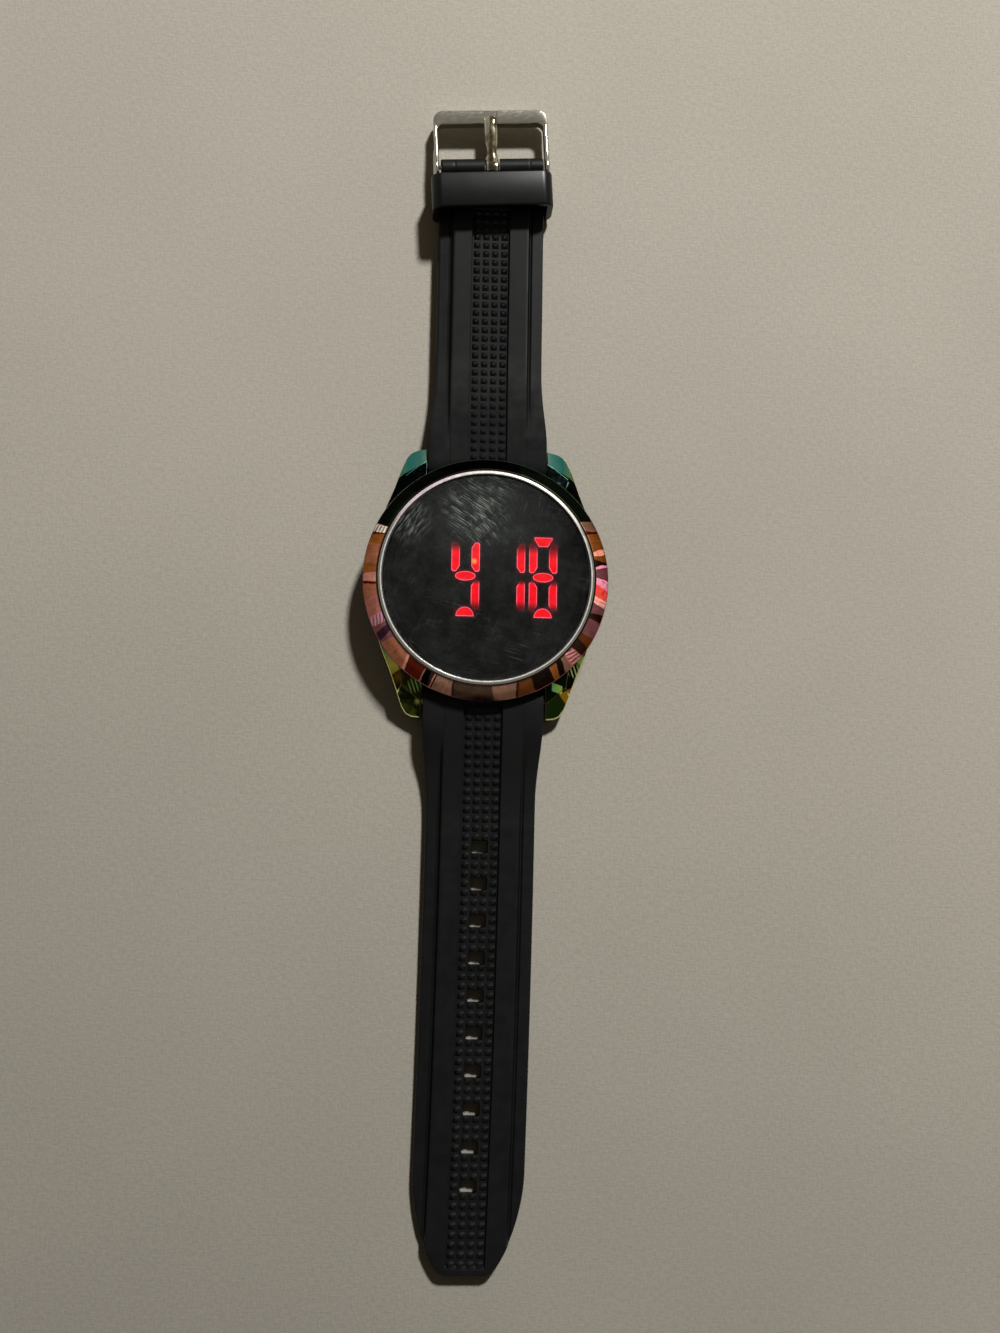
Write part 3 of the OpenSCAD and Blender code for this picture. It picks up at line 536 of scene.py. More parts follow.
rubber("strap_rubber", (0.0022, 0.0028, 0.0027), (0.0034, 0.0041, 0.004), 0.45, 0.02,
       shine=0.16, sheen=0.05, strap=True)
rubber("keeper_rubber", (0.0024, 0.003, 0.0028), (0.0038, 0.0044, 0.0042), 0.33, 0.03,
       shine=0.22, sheen=0.015, strap=False)
for make_paint in (bezel_paint, lug_paint, edge_paint, polished_paint, tongue_paint, ring_paint,
                   back_paint, glass_paint, mask_paint, lit_paint, board_paint):
    make_paint()
plain("plain_steel", (0.56, 0.56, 0.55), 0.3, 1500, metal=1.0)
plain("gold_contact", (0.8, 0.55, 0.2), 0.25, 1500, metal=1.0)
plain("unlit_bars", (0.016, 0.014, 0.014), 0.45, 1200)
plain("white_plastic", (0.72, 0.72, 0.69), 0.45, 1100)
plain("chip", (0.02, 0.02, 0.021), 0.5, 2500)
plain("rubber_seal", (0.012, 0.012, 0.012), 0.6, 2000)


# Mesh building


def circle(turns):
    """The cosine and sine of each of so many equal turns."""
    angles = [2 * math.pi * i / turns for i in range(turns)]
    return [(math.cos(a), math.sin(a)) for a in angles]


def corner(cx, cy, r, start, steps):
    """Points over a quarter of a circle from start degrees on."""
    angles = [math.radians(start + 90 * i / steps) for i in range(steps + 1)]
    return [(cx + r * math.cos(a), cy + r * math.sin(a)) for a in angles]


def rounded_outline(cx, cy, w, h, r, steps=4):
    points = []
    for qx, qy, start in ((1, 1, 0), (-1, 1, 90), (-1, -1, 180), (1, -1, 270)):
        points += corner(cx + qx * (w / 2 - r), cy + qy * (h / 2 - r), r, start, steps)
    return points


def tube(rows, count, start=0, wrap=False):
    """Faces that join rows of count points each, every row closed on itself. The last row is
    joined to the first if wrap is set, and else both are capped."""
    faces = []
    for k in range(rows if wrap else rows - 1):
        a, b = start + k * count, start + (k + 1) % rows * count
        faces += [(a + i, a + (i + 1) % count, b + (i + 1) % count, b + i) for i in range(count)]
    if not wrap:
        last = start + (rows - 1) * count
        faces += [tuple(range(start, start + count)), tuple(range(last, last + count))]
    return faces


def smooth(obj, angle):
    """Smooth shading with sharp edges where faces meet at more than the angle."""
    obj.data.shade_smooth()
    obj.data.set_sharp_from_angle(angle=math.radians(angle))


def new_piece(name, verts, faces, paint, body=None, node=None, angle=35.0, weld=0.0):
    """A mesh in millimetres. With a body it rides on that and stands for the node."""
    bm = bmesh.new()
    made = [bm.verts.new(Vector(v) * MM) for v in verts]
    for f in faces:
        bm.faces.new([made[i] for i in f])
    if weld:
        bmesh.ops.remove_doubles(bm, verts=bm.verts, dist=weld * MM)
        bmesh.ops.dissolve_degenerate(bm, edges=bm.edges, dist=weld * MM)
    bmesh.ops.recalc_face_normals(bm, faces=bm.faces)
    mesh = bpy.data.meshes.new(name)
    bm.to_mesh(mesh)
    bm.free()
    obj = bpy.data.objects.new(name, mesh)
    bpy.context.scene.collection.objects.link(obj)
    mesh.materials.append(paints[paint])
    smooth(obj, angle)
    if body:
        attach(obj, body)
        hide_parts(node)
    return obj


def lathe(name, profile, paint, node):
    """A ring of the case whose closed outline (radius, height) is turned about Z."""
    verts = [(r * c, r * s, z) for c, s in circle(LATHE_TURNS) for r, z in profile]
    faces = tube(LATHE_TURNS, len(profile), wrap=True)
    new_piece(name, verts, faces, paint, "case", node, TURNED_ANGLE)


def cut(obj, cutters, angle):
    """Takes the cutters out of obj and removes them."""
    for cutter in cutters:
        step = obj.modifiers.new("cut", "BOOLEAN")
        step.operation = "DIFFERENCE"
        step.solver = "EXACT"
        step.object = cutter
    depsgraph = bpy.context.evaluated_depsgraph_get()
    result = bpy.data.meshes.new_from_object(obj.evaluated_get(depsgraph))
    obj.modifiers.clear()
    old = obj.data
    obj.data = result
    result.name = old.name
    bpy.data.meshes.remove(old)
    for cutter in cutters:
        bpy.data.objects.remove(cutter)
    smooth(obj, angle)


def cutter_rod(y, z, r, half):
    """A rod along X for cutting a bore."""
    verts = [(x, y + r * c, z + r * s) for x in (-half, half) for c, s in circle(ROD_TURNS)]
    return new_piece("cutter", verts, tube(2, ROD_TURNS), "strap_rubber")


def cutter_hole(cx, cy, w, h, r, levels):
    """A rounded rectangular prism through levels of (height, growth)."""
    rows = [[(x, y, z) for x, y in rounded_outline(cx, cy, w + 2 * grow, h + 2 * grow, r + grow)]
            for z, grow in levels]
    return new_piece("cutter", sum(rows, []), tube(len(rows), len(rows[0])), "strap_rubber")


def askew(obj, degrees, centre_y):
    """Turns a piece's mesh about an upright line through the watch's middle line."""
    centre = Matrix.Translation((0, centre_y * MM, 0))
    turn = Matrix.Rotation(math.radians(degrees), 4, "Z")
    obj.data.transform(centre @ turn @ centre.inverted())


# The strap: its cross-section at each station, then its studs, holes and bores

STUD_X, STUD_H = 1.73, 0.44
STUD_BASE, STUD_TOP = 0.37, 0.1
EDGE_R, EDGE_CUT = 0.35, 0.1
ROW = HOLE_PITCH / 4
ROWS_TO_HOLES = 15
HOLE_ROWS, BUCKLE_ROWS = 44, 14
# The lines at which a stud's foot and top begin and end, as shares of its cell
STUD_PLACES = (0.0, 0.5 - STUD_BASE, 0.5 - STUD_TOP, 0.5 + STUD_TOP, 0.5 + STUD_BASE)
# Half of the strap's top from the middle outwards: x, depth below the flats, then the stud's
# column and the place in its cell. The sunken band ends at BAND_EDGE.
TOP_COLUMNS = [((column + place) * STUD_X, BAND_DROP, (column, place))
               for column in (0, 1) for place in STUD_PLACES]
TOP_COLUMNS += [(x, depth, None) for x, depth in (
    (2 * STUD_X, BAND_DROP), (3.5, BAND_DROP), (3.57, 0.06), (3.66, 0.0), (4.3, 0.0), (5.5, 0.0),
    (6.7, 0.0), (7.02, 0.0), (7.14, 0.05))]
BAND_EDGE = 3.6
# The sunken margins beyond: x, and depth as a share of the margin's
MARGIN_COLUMNS = ((7.46, 1.0), (7.66, 1.1), (8.0, 0.9), (8.7, 0.94), (9.4, 1.0))


def stud_height(place, row_place):
    out = max(abs(place - 0.5), abs(row_place - 0.5))
    return STUD_H * min(max((STUD_BASE - out) / (STUD_BASE - STUD_TOP), 0.0), 1.0)


def strap_section(low, high, half, margin, band, row_place, open_middle=False):
    """The closed cross-section at a station as (x, z), from the left edge over the top."""
    columns = [(x, depth * (band if x < BAND_EDGE else 1.0), cell)
               for x, depth, cell in TOP_COLUMNS]
    columns += [(x, share * margin * MARGIN_DROP, None) for x, share in MARGIN_COLUMNS]
    xs, depths = [c[0] for c in columns], [c[1] for c in columns]
    limit = half - EDGE_R
    side = []
    for x, _, cell in columns:
        z = high - float(np.interp(min(x, limit), xs, depths))
        if cell and row_place is not None and not (open_middle and cell[0] == 0):
            z += stud_height(cell[1], row_place) * band
        side.append((min(x, limit), z))
    edge = high - float(np.interp(limit, xs, depths))
    foot = min(EDGE_R, 0.4 * (edge - low))
    side += [(limit, edge), (half - EDGE_CUT, edge - EDGE_CUT),
             (half, max(edge - EDGE_R, low + foot + 0.01)), (half, low + foot),
             (half - EDGE_CUT, low + 0.3 * foot), (limit, low), (0.6 * limit, low),
             (0.3 * limit, low)]
    left = [(-x, z) for x, z in reversed(side[1:])]
    return left + side + [(0.0, low)]


def strap_stations(last_row, ends):
    """Every station with its place within a stud row, and whether a hole is there."""
    stations = [(-LUG_END_R * math.cos(math.radians(a)), None, False)
                for a in (0, 8, 16, 26, 38, 50, 62, 74)]
    for row in range(-ROWS_TO_HOLES, last_row + 1):
        centre = HOLE_FIRST + row * ROW
        hole = row % 4 == 0 and 0 <= row < 4 * HOLES
        stations += [(centre + (place - 0.5) * ROW, place, hole) for place in STUD_PLACES]
    stations.append((HOLE_FIRST + (last_row + 0.5) * ROW, None, False))
    stations += [(s, None, False) for s in ends]
    return sorted({round(v[0], 4): v for v in stations}.values(), key=lambda v: v[0])


def loft(name, rings, turn, body, node):
    """A closed skin over rings of (s, section); turn maps (x, s, z) to the watch's frame."""
    verts = [turn(x, s, z) for s, ring in rings for x, z in ring]
    return new_piece(name, verts, tube(len(rings), len(rings[0][1])), "strap_rubber", body,
                     node, angle=STRAP_ANGLE, weld=WELD)


def half_width(s):
    return mix(LUG_W, STRAP_W, (s - 3) / 15) / 2


def lug_end(s):
    """The upper and lower face of the round end at a station beyond the bar."""
    half = math.sqrt(max(LUG_END_R ** 2 - s * s, 0.01))
    return BAR_Z + half, BAR_Z - half


def thinning(s):
    """The long half's upper face between the lug's blend and the tip."""
    return STRAP_T + (TIP_T - STRAP_T) * (s - BLEND_L) / (HOLE_LEN - BLEND_L)


def rounding(rest, length):
    """0 at length from an end and more, growing to 1 at the end as a quarter circle does."""
    t = max(1 - rest / length, 0.0)
    return 1 - math.sqrt(max(1 - t * t, 0.0))


def hole_section(s, place, hole):
    if s < 0:
        high, low = lug_end(s)
    else:
        low = mix(BAR_Z - LUG_END_R, 0, s / LANDING_L)
        high = mix(BAR_Z + LUG_END_R, STRAP_T, s / BLEND_L) if s < BLEND_L else thinning(s)
    half = half_width(s)
    u = (s - (HOLE_LEN - TIP_LEN)) / TIP_LEN
    if u > 0:
        half = TIP_W / 2 + (STRAP_W - TIP_W) / 2 * (1 - min(u, 1.0) ** 1.7) ** 0.7
    half -= 1.1 * rounding(HOLE_LEN - s, 0.9)
    drop = 0.45 * rounding(HOLE_LEN - s, 0.45)
    band = ease((s + 1.4) / 1.2) * (1 - ease((s - (HOLE_LEN - 1.5)) / 0.35))
    margin = ease((s - 4.5) / 8.5)
    return strap_section(low + 0.6 * drop, high - drop, half, margin, band, place, hole)


def buckle_section(s, place):
    if s < 0:
        high, low = lug_end(s)
    else:
        low = mix(BAR_Z - LUG_END_R, LIFT, s / BLEND_L)
        high = mix(BAR_Z + LUG_END_R, LIFT + STRAP_T, s / BLEND_L)
    half = half_width(s)
    reach = s - BUCKLE_LEN
    if reach > -2.2:
        # The round end about the buckle bar, softly joined to the flat strap
        out = math.sqrt(max(BUCKLE_END_R ** 2 - reach * reach, 0.01))
        round_high, round_low = BUCKLE_Z + out, BUCKLE_Z - out
        if reach > 0:
            high, low = round_high, round_low
        else:
            soft = 0.35
            gap = max(soft - abs(round_high - high), 0) / soft
            high = max(round_high, high) + gap * gap * soft / 4
            low = min(low, round_low) if reach > -0.6 else low
    neck = reach + KEEPER_BACK
    if neck > 0:
        half = BUCKLE_END_W / 2 + (half - BUCKLE_END_W / 2) * (1 - ease(neck / 0.3))
    stop = BUCKLE_LEN - KEEPER_BACK - KEEPER_L + 0.6
    band = ease((s + 1.4) / 1.2) * (1 - ease((s - stop) / 0.3))
    margin = ease((s - 4.5) / 8.5) * (1 - ease(neck / 0.8))
    return strap_section(low, high, half, margin, band, place)


def make_hole_strap():
    """The long half, with its ten holes and the slight curl with which it lies."""
    ends = [101.0, 101.2, 101.35, 101.5, 101.62, 101.7, 101.76, 101.8]
    rings = [(s, hole_section(s, place, hole))
             for s, place, hole in strap_stations(HOLE_ROWS, ends)]

    def curl(s):
        return -CURL * (max(s, 0.0) / HOLE_LEN) ** 2

    obj = loft("hole_strap_rubber", rings, lambda x, s, z: (x + curl(s), -BAR_Y - s, z),
               "hole_half", "hole_strap")
    cutters = []
    for i in range(HOLES):
        s = HOLE_FIRST + i * HOLE_PITCH
        floor = thinning(s) - BAND_DROP
        levels = ((-1, 0.1), (0.0, 0.1), (0.12, 0.0), (floor - 0.12, 0.0), (floor, 0.1),
                  (floor + 2, 0.1))
        cutters.append(cutter_hole(curl(s), -BAR_Y - s, HOLE_W, HOLE_L, HOLE_CORNER, levels))
    cutters.append(cutter_rod(-BAR_Y, BAR_Z, BORE_R, BORE_HALF))
    cut(obj, cutters, STRAP_ANGLE)


def make_buckle_strap():
    """The short half, whose last stretch turns aside with the buckle."""
    end = BUCKLE_LEN
    ends = [end - 8.5, end - 8.2, end - 6, end - 4, end - 3, end - 2.5, end - 2.35, end - 2.2]
    ends += [end + BUCKLE_END_R * math.sin(math.radians(a)) for a in range(-80, 91, 10)]
    rings = [(s, buckle_section(s, place)) for s, place, _ in strap_stations(BUCKLE_ROWS, ends)]

    def turned(x, s, z):
        angle = math.radians(BUCKLE_ASKEW) * ease((s - end + 12) / 9)
        along = s - end
        return (x * math.cos(angle) - along * math.sin(angle),
                BUCKLE_Y + x * math.sin(angle) + along * math.cos(angle), z)

    obj = loft("buckle_strap_rubber", rings, turned, "buckle_half", "buckle_strap")
    slot = cutter_hole(0, BUCKLE_Y - SLOT_BACK + 5, SLOT_W, 10, 0.5, ((-1, 0), (9, 0)))
    askew(slot, BUCKLE_ASKEW, BUCKLE_Y)
    cut(obj, [slot, cutter_rod(BUCKLE_Y, BUCKLE_Z, BORE_R, BORE_HALF),
              cutter_rod(BAR_Y, BAR_Z, BORE_R, BORE_HALF)], STRAP_ANGLE)


def make_keeper():
    """The loop: a rounded rectangular sleeve with soft edges."""
    out_w, out_h = KEEPER_IN_W + 2 * KEEPER_T, KEEPER_ROOM + 2 * KEEPER_T
    out_r, in_r, steps, soft = 2.0, 0.8, 10, 0.3
    ends = ((0.0, soft), (0.05, 0.5 * soft), (0.15, 0.15 * soft), (soft, 0.0))
    stations = ends + tuple((KEEPER_L - y, inset) for y, inset in reversed(ends))
    outer, inner = [], []
    for y, inset in stations:
        over, under = 2 * inset, 0.4 * inset
        for rows, w, h, r in ((outer, out_w - over, out_h - over, out_r - inset),
                              (inner, KEEPER_IN_W + under, KEEPER_ROOM + under, in_r)):
            outline = rounded_outline(0, out_h / 2, w, h, r, steps)
            rows.append([(x, y + KEEPER_Y, z) for x, z in outline])
    rows = outer + inner[::-1]
    obj = new_piece("keeper_loop", sum(rows, []), tube(len(rows), len(rows[0]), wrap=True),
                    "keeper_rubber", "keeper", "keeper", angle=TURNED_ANGLE)
    askew(obj, KEEPER_ASKEW, KEEPER_Y + KEEPER_L / 2)


# The display


def segment_points(letter, grow):
    """A segment's outline about the middle of its digit, shrunk or grown by grow."""
    upright_l, upright_y = 5.4, 3.5
    end_w, end_h, mid_w, mid_h = 3.3, 1.75, 3.75, 1.75
    x = (DIGIT_W - SEG_W) / 2
    y = (DIGIT_H - end_h) / 2
    if letter in "bcef":
        # The side towards the middle of the digit has the larger cut corners
        w, l = SEG_W / 2 - 0.04 + grow, upright_l / 2 + grow
        inner = -1 if letter in "bc" else 1
        shape = [(-inner * w, -l + 0.3), (-inner * w, l - 0.3), (-inner * (w - 0.25), l),
                 (inner * 0.1, l), (inner * w, l - 1.0), (inner * w, -l + 1.0),
                 (inner * 0.1, -l), (-inner * (w - 0.25), -l)]
        cx, cy = -inner * x, upright_y if letter in "bf" else -upright_y
    elif letter == "a":
        w, h = end_w / 2 + grow, end_h / 2 + grow
        shape = [(-w, h), (-w, h - 0.4), (-w / 2, -h), (w / 2, -h), (w, h - 0.4), (w, h)]
        cx, cy = 0, y
    elif letter == "g":
        w, h = mid_w / 2 + grow, mid_h / 2 + grow
        shape = [(w * c, h * s) for c, s in circle(ARC_POINTS)]
        cx, cy = 0, 0
    else:
        w, h = end_w / 2 + grow, end_h + 2 * grow
        shape = [(w * c, h * s - h / 2) for c, s in circle(ARC_POINTS)[:ARC_POINTS // 2 + 1]]
        cx, cy = 0, -y
    return [(px + cx, py + cy) for px, py in shape]


LIT = {"hour_digit": (1, "bcdfg"), "tens_digit": (2, "bc"), "units_digit": (3, "abcdefg")}

# How much of an upright's far end and near end fades out, for each letter or one digit's letter
FADES = {
    "b": (0.7, 0.0), "f": (0.6, 0.0), "c": (0.55, 0.5), "e": (0.5, 0.2),
    "hour_digit.b": (0.0, 0.0), "units_digit.b": (0.9, 0.0), "units_digit.c": (0.35, 0.6),
}


def make_digit(node, index, letters):
    """Light bars with a rim, a shoulder and a face, so that the rim can shine paler."""
    top, foot = MASK_Z + MASK_T - 0.05, CASE_TOP - 0.15
    # How far each row lies outside the segment's outline, its height, and 1 on the rim
    levels = ((0.0, foot, 0.0), (0.0, top - 0.02, 1.0), (-0.02, top, 1.0), (-0.11, top, 1.0),
              (-0.15, top, 0.0), (-0.3, top, 0.0))
    verts, faces, marks = [], [], []
    for letter in letters:
        count = len(segment_points(letter, 0.0))
        faces += tube(len(levels), count, start=len(verts))
        fades = FADES.get(node + "." + letter, FADES.get(letter, (0.0, 0.0)))
        for grow, z, rim in levels:
            verts += [(x + DIGIT_X[index], y + DIGIT_Y, z)
                      for x, y in segment_points(letter, grow)]
            marks += [(rim, *fades, 1.0)] * count
    obj = new_piece(node + "_bars", verts, faces, "lit_red", "case", node, angle=20.0)
    layer = obj.data.color_attributes.new("bar", "FLOAT_COLOR", "POINT")
    layer.data.foreach_set("color", [v for mark in marks for v in mark])


def box_distance(px, py, letter, index):
    """Distance from points to the box round a segment."""
    ring = np.array(segment_points(letter, 0.0)) + (DIGIT_X[index], DIGIT_Y)
    low, high = ring.min(0), ring.max(0)
    dx = np.maximum(np.maximum(low[0] - px, px - high[0]), 0)
    dy = np.maximum(np.maximum(low[1] - py, py - high[1]), 0)
    return np.hypot(dx, dy)


def make_mask():
    """The black film under the glass as a fine disc, and the painted red glow that it emits
    round the lit bars. The bars' faces lie just above it."""
    n = int(MASK_R / FILM_STEP)
    top = MASK_Z + MASK_T - 0.08
    verts, index = [], {}
    for i in range(-n, n + 1):
        for j in range(-n, n + 1):
            x, y = i * FILM_STEP, j * FILM_STEP
            if math.hypot(x, y) <= MASK_R - 0.1:
                index[(i, j)] = len(verts)
                verts.append((x, y, top))
    squares = [[index.get(k) for k in ((i, j), (i + 1, j), (i + 1, j + 1), (i, j + 1))]
               for i, j in index]
    faces = [square for square in squares if None not in square]
    obj = new_piece("display_film", verts, faces, "black_film", "case", "display_mask")
    points = np.array(verts)
    spill = np.zeros(len(verts))
    for digit, letters in LIT.values():
        for letter in letters:
            d = box_distance(points[:, 0], points[:, 1], letter, digit)
            share = 0.6 if letter in "bcef" else 1.0
            spill += share * np.exp(-((d / 0.26) ** 2))
    layer = obj.data.attributes.new("spill", "FLOAT", "POINT")
    layer.data.foreach_set("value", np.clip(spill, 0, 1).astype(np.float32))


# The case's turned parts


def make_bezel():
    lathe("bezel_ring", [
        (20.2, CASE_TOP), (22.38, CASE_TOP), (22.47, 6.86), (22.5, 6.96), (22.5, 7.36),
        (22.47, 7.5), (22.38, 7.64), (20.24, 10.05), (20.14, 10.14), (20.0, 10.19),
        (19.85, 10.2), (19.78, 10.17), (19.75, 10.1), (19.75, SPIGOT_TOP), (20.2, SPIGOT_TOP),
    ], "copper_metal", "bezel")


def make_glass_ring():
    lathe("glass_rim", [
        (19.05, SPIGOT_TOP), (RING_R, SPIGOT_TOP), (RING_R, 10.22), (19.68, 10.3),
        (19.62, 10.37), (19.52, 10.43), (19.4, 10.47), (19.28, 10.49), (19.18, RING_TOP),
        (19.1, RING_TOP), (19.06, 10.48), (19.05, 10.44),
    ], "ring_steel", "glass_ring")


# The buckle: rounded bars in place of the solids' square ones


def rounded_section(outer, inner, low, high, r, steps=5):
    """A ring of points for a bar between two points seen from above, with rounded corners."""
    a, b = Vector(outer), Vector(inner)
    wide, tall = (b - a).length, high - low
    r = min(r, 0.48 * tall, 0.48 * wide)
    ring = []
    for u, v, start in ((r, low + r, 180), (wide - r, low + r, 270), (wide - r, high - r, 0),
                        (r, high - r, 90)):
        for along, z in corner(u, v, r, start, steps):
            place = a.lerp(b, along / wide)
            ring.append((place.x, place.y, z))
    return ring


def frame_heights(y):
    """The frame's lower and upper faces at a distance from the buckle bar."""
    if y < 0.59:
        half = math.sqrt(max(EAR_R ** 2 - y * y, 0.0004))
        return -half, half
    t = min(max((y - SHOULDER) / (FRAME_REACH - FAR_BAR_W - 0.4 - SHOULDER), 0.0), 1.0)
    return -ARM_HALF_H + (FAR_LOW + ARM_HALF_H) * t, ARM_HALF_H + (FAR_TOP - ARM_HALF_H) * t


def make_frame():
    """The frame from the right ear round the far bar to the left ear."""
    arm_in, in_len = FRAME_HALF - ARM_T, FRAME_REACH - FAR_BAR_W
    in_r, steps = FRAME_CORNER - ARM_T, 8
    ear = [-EAR_R * math.cos(math.radians(a)) for a in range(0, 91, 10)]
    pairs = [((FRAME_HALF, y), (arm_in, y))
             for y in ear + [0.3, 0.59, 1.2, SHOULDER, 4, 5.5, in_len - in_r]]
    pairs += zip(corner(FRAME_HALF - FRAME_CORNER, FRAME_REACH - FRAME_CORNER, FRAME_CORNER, 0,
                        steps), corner(arm_in - in_r, in_len - in_r, in_r, 0, steps))
    pairs += [((x, FRAME_REACH), (x, in_len)) for x in (7, 5, 3, 1)]
    pairs += [((-a[0], a[1]), (-b[0], b[1])) for a, b in reversed(pairs)]
    verts = []
    for outer, inner in pairs:
        low, high = frame_heights(0.5 * (outer[1] + inner[1]))
        slim = 0.4 - 0.15 * ease((outer[1] - 9) / 2)
        ring = rounded_section(outer, inner, low, high, slim)
        verts += [(x, y + BUCKLE_Y, z + BUCKLE_Z) for x, y, z in ring]
    faces = tube(len(pairs), len(ring))
    obj = new_piece("buckle_frame_bar", verts, faces, "polished_steel", "frame",
                    "buckle_frame", angle=FRAME_ANGLE, weld=WELD)
    top = BUCKLE_Z + FAR_TOP
    notch = cutter_hole(0, BUCKLE_Y + FRAME_REACH - 1, NOTCH_W, 4, 0.25,
                        ((top - NOTCH_D, 0), (top + 1, 0)))
    cut(obj, [notch], FRAME_ANGLE)
    askew(obj, BUCKLE_ASKEW, BUCKLE_Y)
    cut(obj, [cutter_rod(BUCKLE_Y, BUCKLE_Z, PIN_HOLE_R, 12)], FRAME_ANGLE)


def make_tongue():
    """A ring round the buckle bar and a domed blade that narrows at the neck."""
    rest = FAR_TOP - NOTCH_D + 0.05
    profile = [(0.95, -TONGUE_HALF + 0.1), (1.05, -TONGUE_HALF), (HUB_R - 0.3, -TONGUE_HALF),
               (HUB_R - 0.08, -TONGUE_HALF + 0.1), (HUB_R, -TONGUE_HALF + 0.35)]
    profile += [(r, -x) for r, x in reversed(profile)]
    verts = [(x, r * c, r * s) for c, s in circle(HUB_TURNS) for r, x in profile]
    faces = tube(HUB_TURNS, len(profile), wrap=True)
    # Blade stations: distance from the bar, half width, bottom, top
    stations = (
        (1.0, 1.25, -0.3, 1.42), (1.5, 1.25, -0.2, 1.4), (1.9, 1.24, -0.1, 1.36),
        (2.5, 1.05, 0.1, 1.3), (3.0, 0.92, 0.25, 1.25), (3.6, 0.92, 0.24, 1.24),
        (4.3, 1.08, 0.22, 1.22), (5.0, 1.23, 0.21, 1.21), (6.5, 1.25, 0.18, 1.18),
        (8.7, 1.25, rest, rest + 1.0), (9.6, 1.24, rest, rest + 0.92),
        (10.2, 1.1, rest, rest + 0.78), (10.5, 0.85, rest, rest + 0.6),
        (TONGUE_TIP, 0.45, rest + 0.05, rest + 0.35),
    )
    faces += tube(len(stations), BLADE_POINTS, start=len(verts))
    for y, half, low, high in stations:
        middle = low + 0.32 * (high - low)
        for side, up in circle(BLADE_POINTS):
            x = half * math.copysign(abs(side) ** 0.75, side)
            z = (middle + (high - middle) * up ** 0.62 if up > 0 else
                 middle - (middle - low) * abs(up) ** 0.35)
            verts.append((x, y, z))
    obj = new_piece("buckle_tongue_pin", [(x, y + BUCKLE_Y, z + BUCKLE_Z) for x, y, z in verts],
                    faces, "tongue_steel", "tongue", "buckle_tongue",
                    angle=TURNED_ANGLE)
    askew(obj, BUCKLE_ASKEW, BUCKLE_Y)


# The solids that stay


def soften(node, width, share, edge=None):
    """Rounds a solid's outward edges a little, so that they catch the light, perhaps in a paint
    of their own. share gives the part of the width for an edge from its middle, in millimetres,
    and the angle between its faces, which counts as 0 in a hollow corner."""
    obj = nodes[node]
    mesh = obj.data

    def place(edge_ends):
        return frozenset(tuple(round(c * 1e6) for c in mesh.vertices[i].co) for i in edge_ends)

    sides = {}
    for polygon in mesh.polygons:
        for key in polygon.edge_keys:
            sides.setdefault(place(key), []).append((polygon.normal.copy(), polygon.center.copy()))
    weights = []
    for line in mesh.edges:
        found = sides.get(place(line.vertices), [])
        turn = 0.0
        if len(found) == 2:
            (normal, centre), (other_normal, other_centre) = found
            if (other_centre - centre).dot(normal) < 0:
                turn = math.degrees(normal.angle(other_normal))
        middle = (mesh.vertices[line.vertices[0]].co + mesh.vertices[line.vertices[1]].co) / 2
        weights.append(share(middle / MM, turn))
    layer = mesh.attributes.new("bevel_weight_edge", "FLOAT", "EDGE")
    layer.data.foreach_set("value", weights)
    weld = obj.modifiers.new("join_faces", "WELD")
    weld.merge_threshold = WELD * MM
    step = obj.modifiers.new("soft_edges", "BEVEL")
    if edge:
        mesh.materials.append(paints[edge])
        step.material = 1
    step.width = width * MM
    step.segments = 2
    step.limit_method = "WEIGHT"
    step.use_clamp_overlap = False
    obj.modifiers.new("even_normals", "WEIGHTED_NORMAL").weight = 100


def lug_share(place, turn):
    """Wide on the outline of the lower lugs, narrow on creases, none inside the case or on the
    outer creases of the upper lugs."""
    if place.xy.length < 19.5 or turn < 18:
        return 0.0
    outline = turn > 30 and place.z < 5.0
    if place.y < 0:
        return 1.0 if outline else 0.25
    if outline:
        return 0.4
    return 0.22 if abs(place.x) < 14.2 else 0.0


def back_share(place, turn):
    """The back's outline only, as the screws' recesses lie too close to it."""
    outline = place.xy.length > 20.3 or abs(place.y) > 18.3
    return 1.0 if outline and turn > 40 else 0.0


# Floor, light and camera


def settle(floor, names):
    """Keeps the floor under the lowest of the named pieces, as a strap can swing down below
    the face that the watch lies on."""
    tree = bpy.data.node_groups.new("settle", "GeometryNodeTree")
    for way in ("INPUT", "OUTPUT"):
        tree.interface.new_socket("Geometry", in_out=way, socket_type="NodeSocketGeometry")

    def node(kind, **inputs):
        made = tree.nodes.new(kind)
        for key, value in inputs.items():
            if isinstance(value, bpy.types.NodeSocket):
                tree.links.new(value, made.inputs[key])
            else:
                made.inputs[key].default_value = value
        return made

    together = node("GeometryNodeJoinGeometry")
    for name in names:
        piece = node("GeometryNodeObjectInfo", Object=bpy.data.objects[name])
        piece.transform_space = "RELATIVE"
        tree.links.new(piece.outputs["Geometry"], together.inputs[0])
    box = node("GeometryNodeBoundBox", Geometry=together.outputs[0])
    lowest = node("ShaderNodeSeparateXYZ", Vector=box.outputs["Min"])
    drop = node("ShaderNodeMath")
    drop.operation = "MINIMUM"
    tree.links.new(lowest.outputs["Z"], drop.inputs[0])
    drop.inputs[1].default_value = 0.0
    shift = node("ShaderNodeCombineXYZ", Z=drop.outputs[0])
    sheet = node("NodeGroupInput").outputs[0]
    moved = node("GeometryNodeTransform", Geometry=sheet, Translation=shift.outputs[0])
    tree.links.new(moved.outputs[0], node("NodeGroupOutput").inputs[0])
    floor.modifiers.new("settle", "NODES").node_group = tree


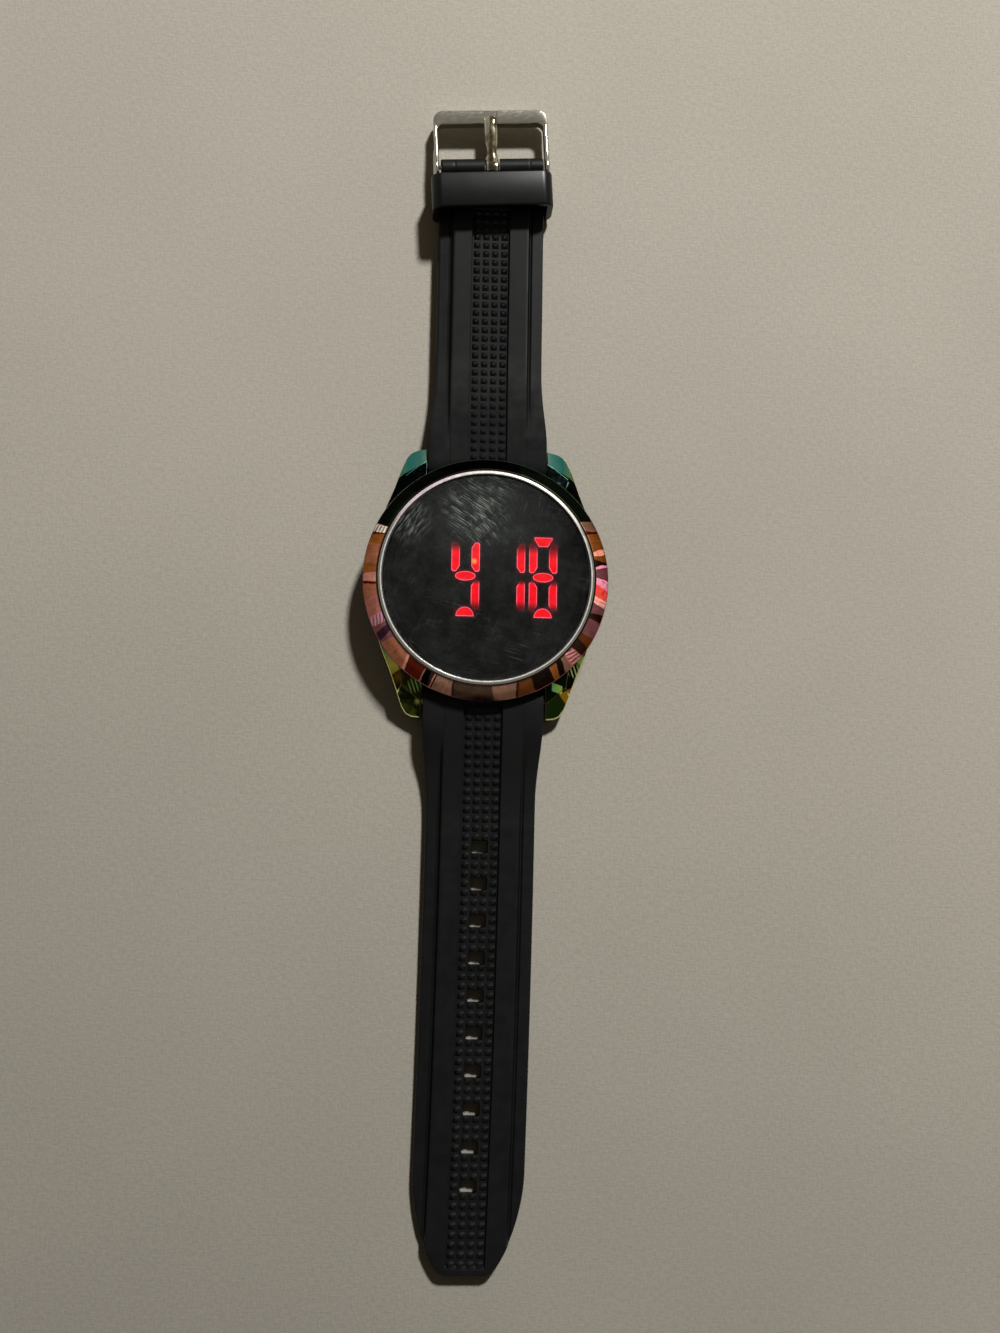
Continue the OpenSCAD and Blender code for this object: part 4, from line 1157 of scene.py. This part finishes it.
def make_floor():
    """A plain pale sheet with a faint weave and a painted falloff of the lamp's light: lighter
    towards the top of the picture, near the watch.
    """
    bpy.ops.mesh.primitive_plane_add(size=6.0, location=(0, 0, -0.00004))
    floor = bpy.context.object
    floor.name = "floor"
    s = material("floor", Specular_IOR_Level=0.2)
    weave = (s.grain((900, 2600, 1)) + s.grain((2600, 900, 1))) * 0.5
    thread = s.span(weave, 0.35, 0.65, 0.93, 1.07)
    x, y, _ = s.xyz()
    # Painted falloff of the lamp's light: lighter to the north-east, darker to the south-west,
    # near the watch only
    slope = x * 1.25 + y * 3.05
    painted_falloff = 1.0 + slope * s.span(s.length(x, y), 0.13, 0.4, 0.8, 0.0)
    painted_falloff = painted_falloff * s.mottle(14, 3, 0.97, 1.03)
    s.finish(s.dim(srgb(168, 163, 152), thread * painted_falloff), s.span(weave, 0.3, 0.7, 0.85, 0.95),
             weave, 0.12, 0.7)
    floor.data.materials.append(paints["floor"])
    settle(floor, ["hole_strap_rubber", "buckle_strap_rubber", "keeper_loop", "buckle_frame_bar"])


def make_light():
    """One lamp up to the north-east, where the photograph's light comes from."""
    key = bpy.data.lights.new("key", "SUN")
    key.energy = 3.9
    key.angle = math.radians(6.6)
    key.color = (1.0, 0.985, 0.96)
    lamp = bpy.data.objects.new("key", key)
    lamp.rotation_mode = "QUATERNION"
    lamp.rotation_quaternion = Vector((0.4, 0.97, 1.0)).to_track_quat("Z", "Y")
    bpy.context.scene.collection.objects.link(lamp)


def make_world():
    """A pale studio to look at, and a dim warm light from it on everything dull."""
    world = bpy.data.worlds.new("studio")
    bpy.context.scene.world = world
    s = Shader(world, "Background", "Generated", Strength=1.0)
    studio = s.ramp(s.xyz()[2], [(0.0, (0.46, 0.44, 0.4)), (0.45, (0.34, 0.325, 0.295)),
                                 (0.82, (0.21, 0.2, 0.18))])
    camera_ray = s.make("LightPath", {}, "Is Camera Ray")
    seen = s.larger(camera_ray, camera_ray.beside("Is Glossy Ray"))
    seen = s.larger(seen, camera_ray.beside("Is Transmission Ray"))
    seen = seen * (camera_ray.beside("Diffuse Depth") < 0.5)
    s.set("Color", s.blend(seen, (0.07, 0.057, 0.042), studio))


def make_camera():
    """The photograph's place and direction: nearly straight down, tilted a little to the south."""
    turn = Matrix.Identity(3)
    for degrees, axis in ((7.4, "X"), (-2.9, "Y"), (1.3, "Z")):
        turn = turn @ Matrix.Rotation(math.radians(degrees), 3, axis)
    # The focal length and the picture's size in pixels, and the point that lies at px, py
    focal, wide, tall = 1600.0, 1000, 1333
    aim, px, py, away = Vector((0, 0, 8)), 486.0, 579.0, 292.0
    ray = Vector(((px - wide / 2) / focal, -(py - tall / 2) / focal, -1.0)) * away
    camera = bpy.data.cameras.new("camera")
    camera.lens = 36.0 * focal / tall
    camera.clip_start = 0.01
    obj = bpy.data.objects.new("camera", camera)
    obj.location = (aim - turn @ ray) * MM
    obj.rotation_euler = turn.to_euler()
    bpy.context.scene.collection.objects.link(obj)
    bpy.context.scene.camera = obj


# Dress the solids that stay, add the detailed pieces, then set the stage

for subpart in frame["record"]["subparts"]:
    solid = nodes[subpart["node"]]
    solid.data.materials.clear()
    solid.data.materials.append(paints[subpart["material_slot"]])

soften("case_middle", 0.3, lug_share, edge="edge_metal")
soften("case_back", 0.1, back_share)

make_hole_strap()
make_buckle_strap()
make_keeper()
make_bezel()
make_glass_ring()
make_frame()
make_tongue()
make_mask()
for digit_node, (digit_index, digit_letters) in LIT.items():
    make_digit(digit_node, digit_index, digit_letters)

make_floor()
make_light()
make_world()
make_camera()
bpy.context.scene.view_settings.view_transform = "Standard"
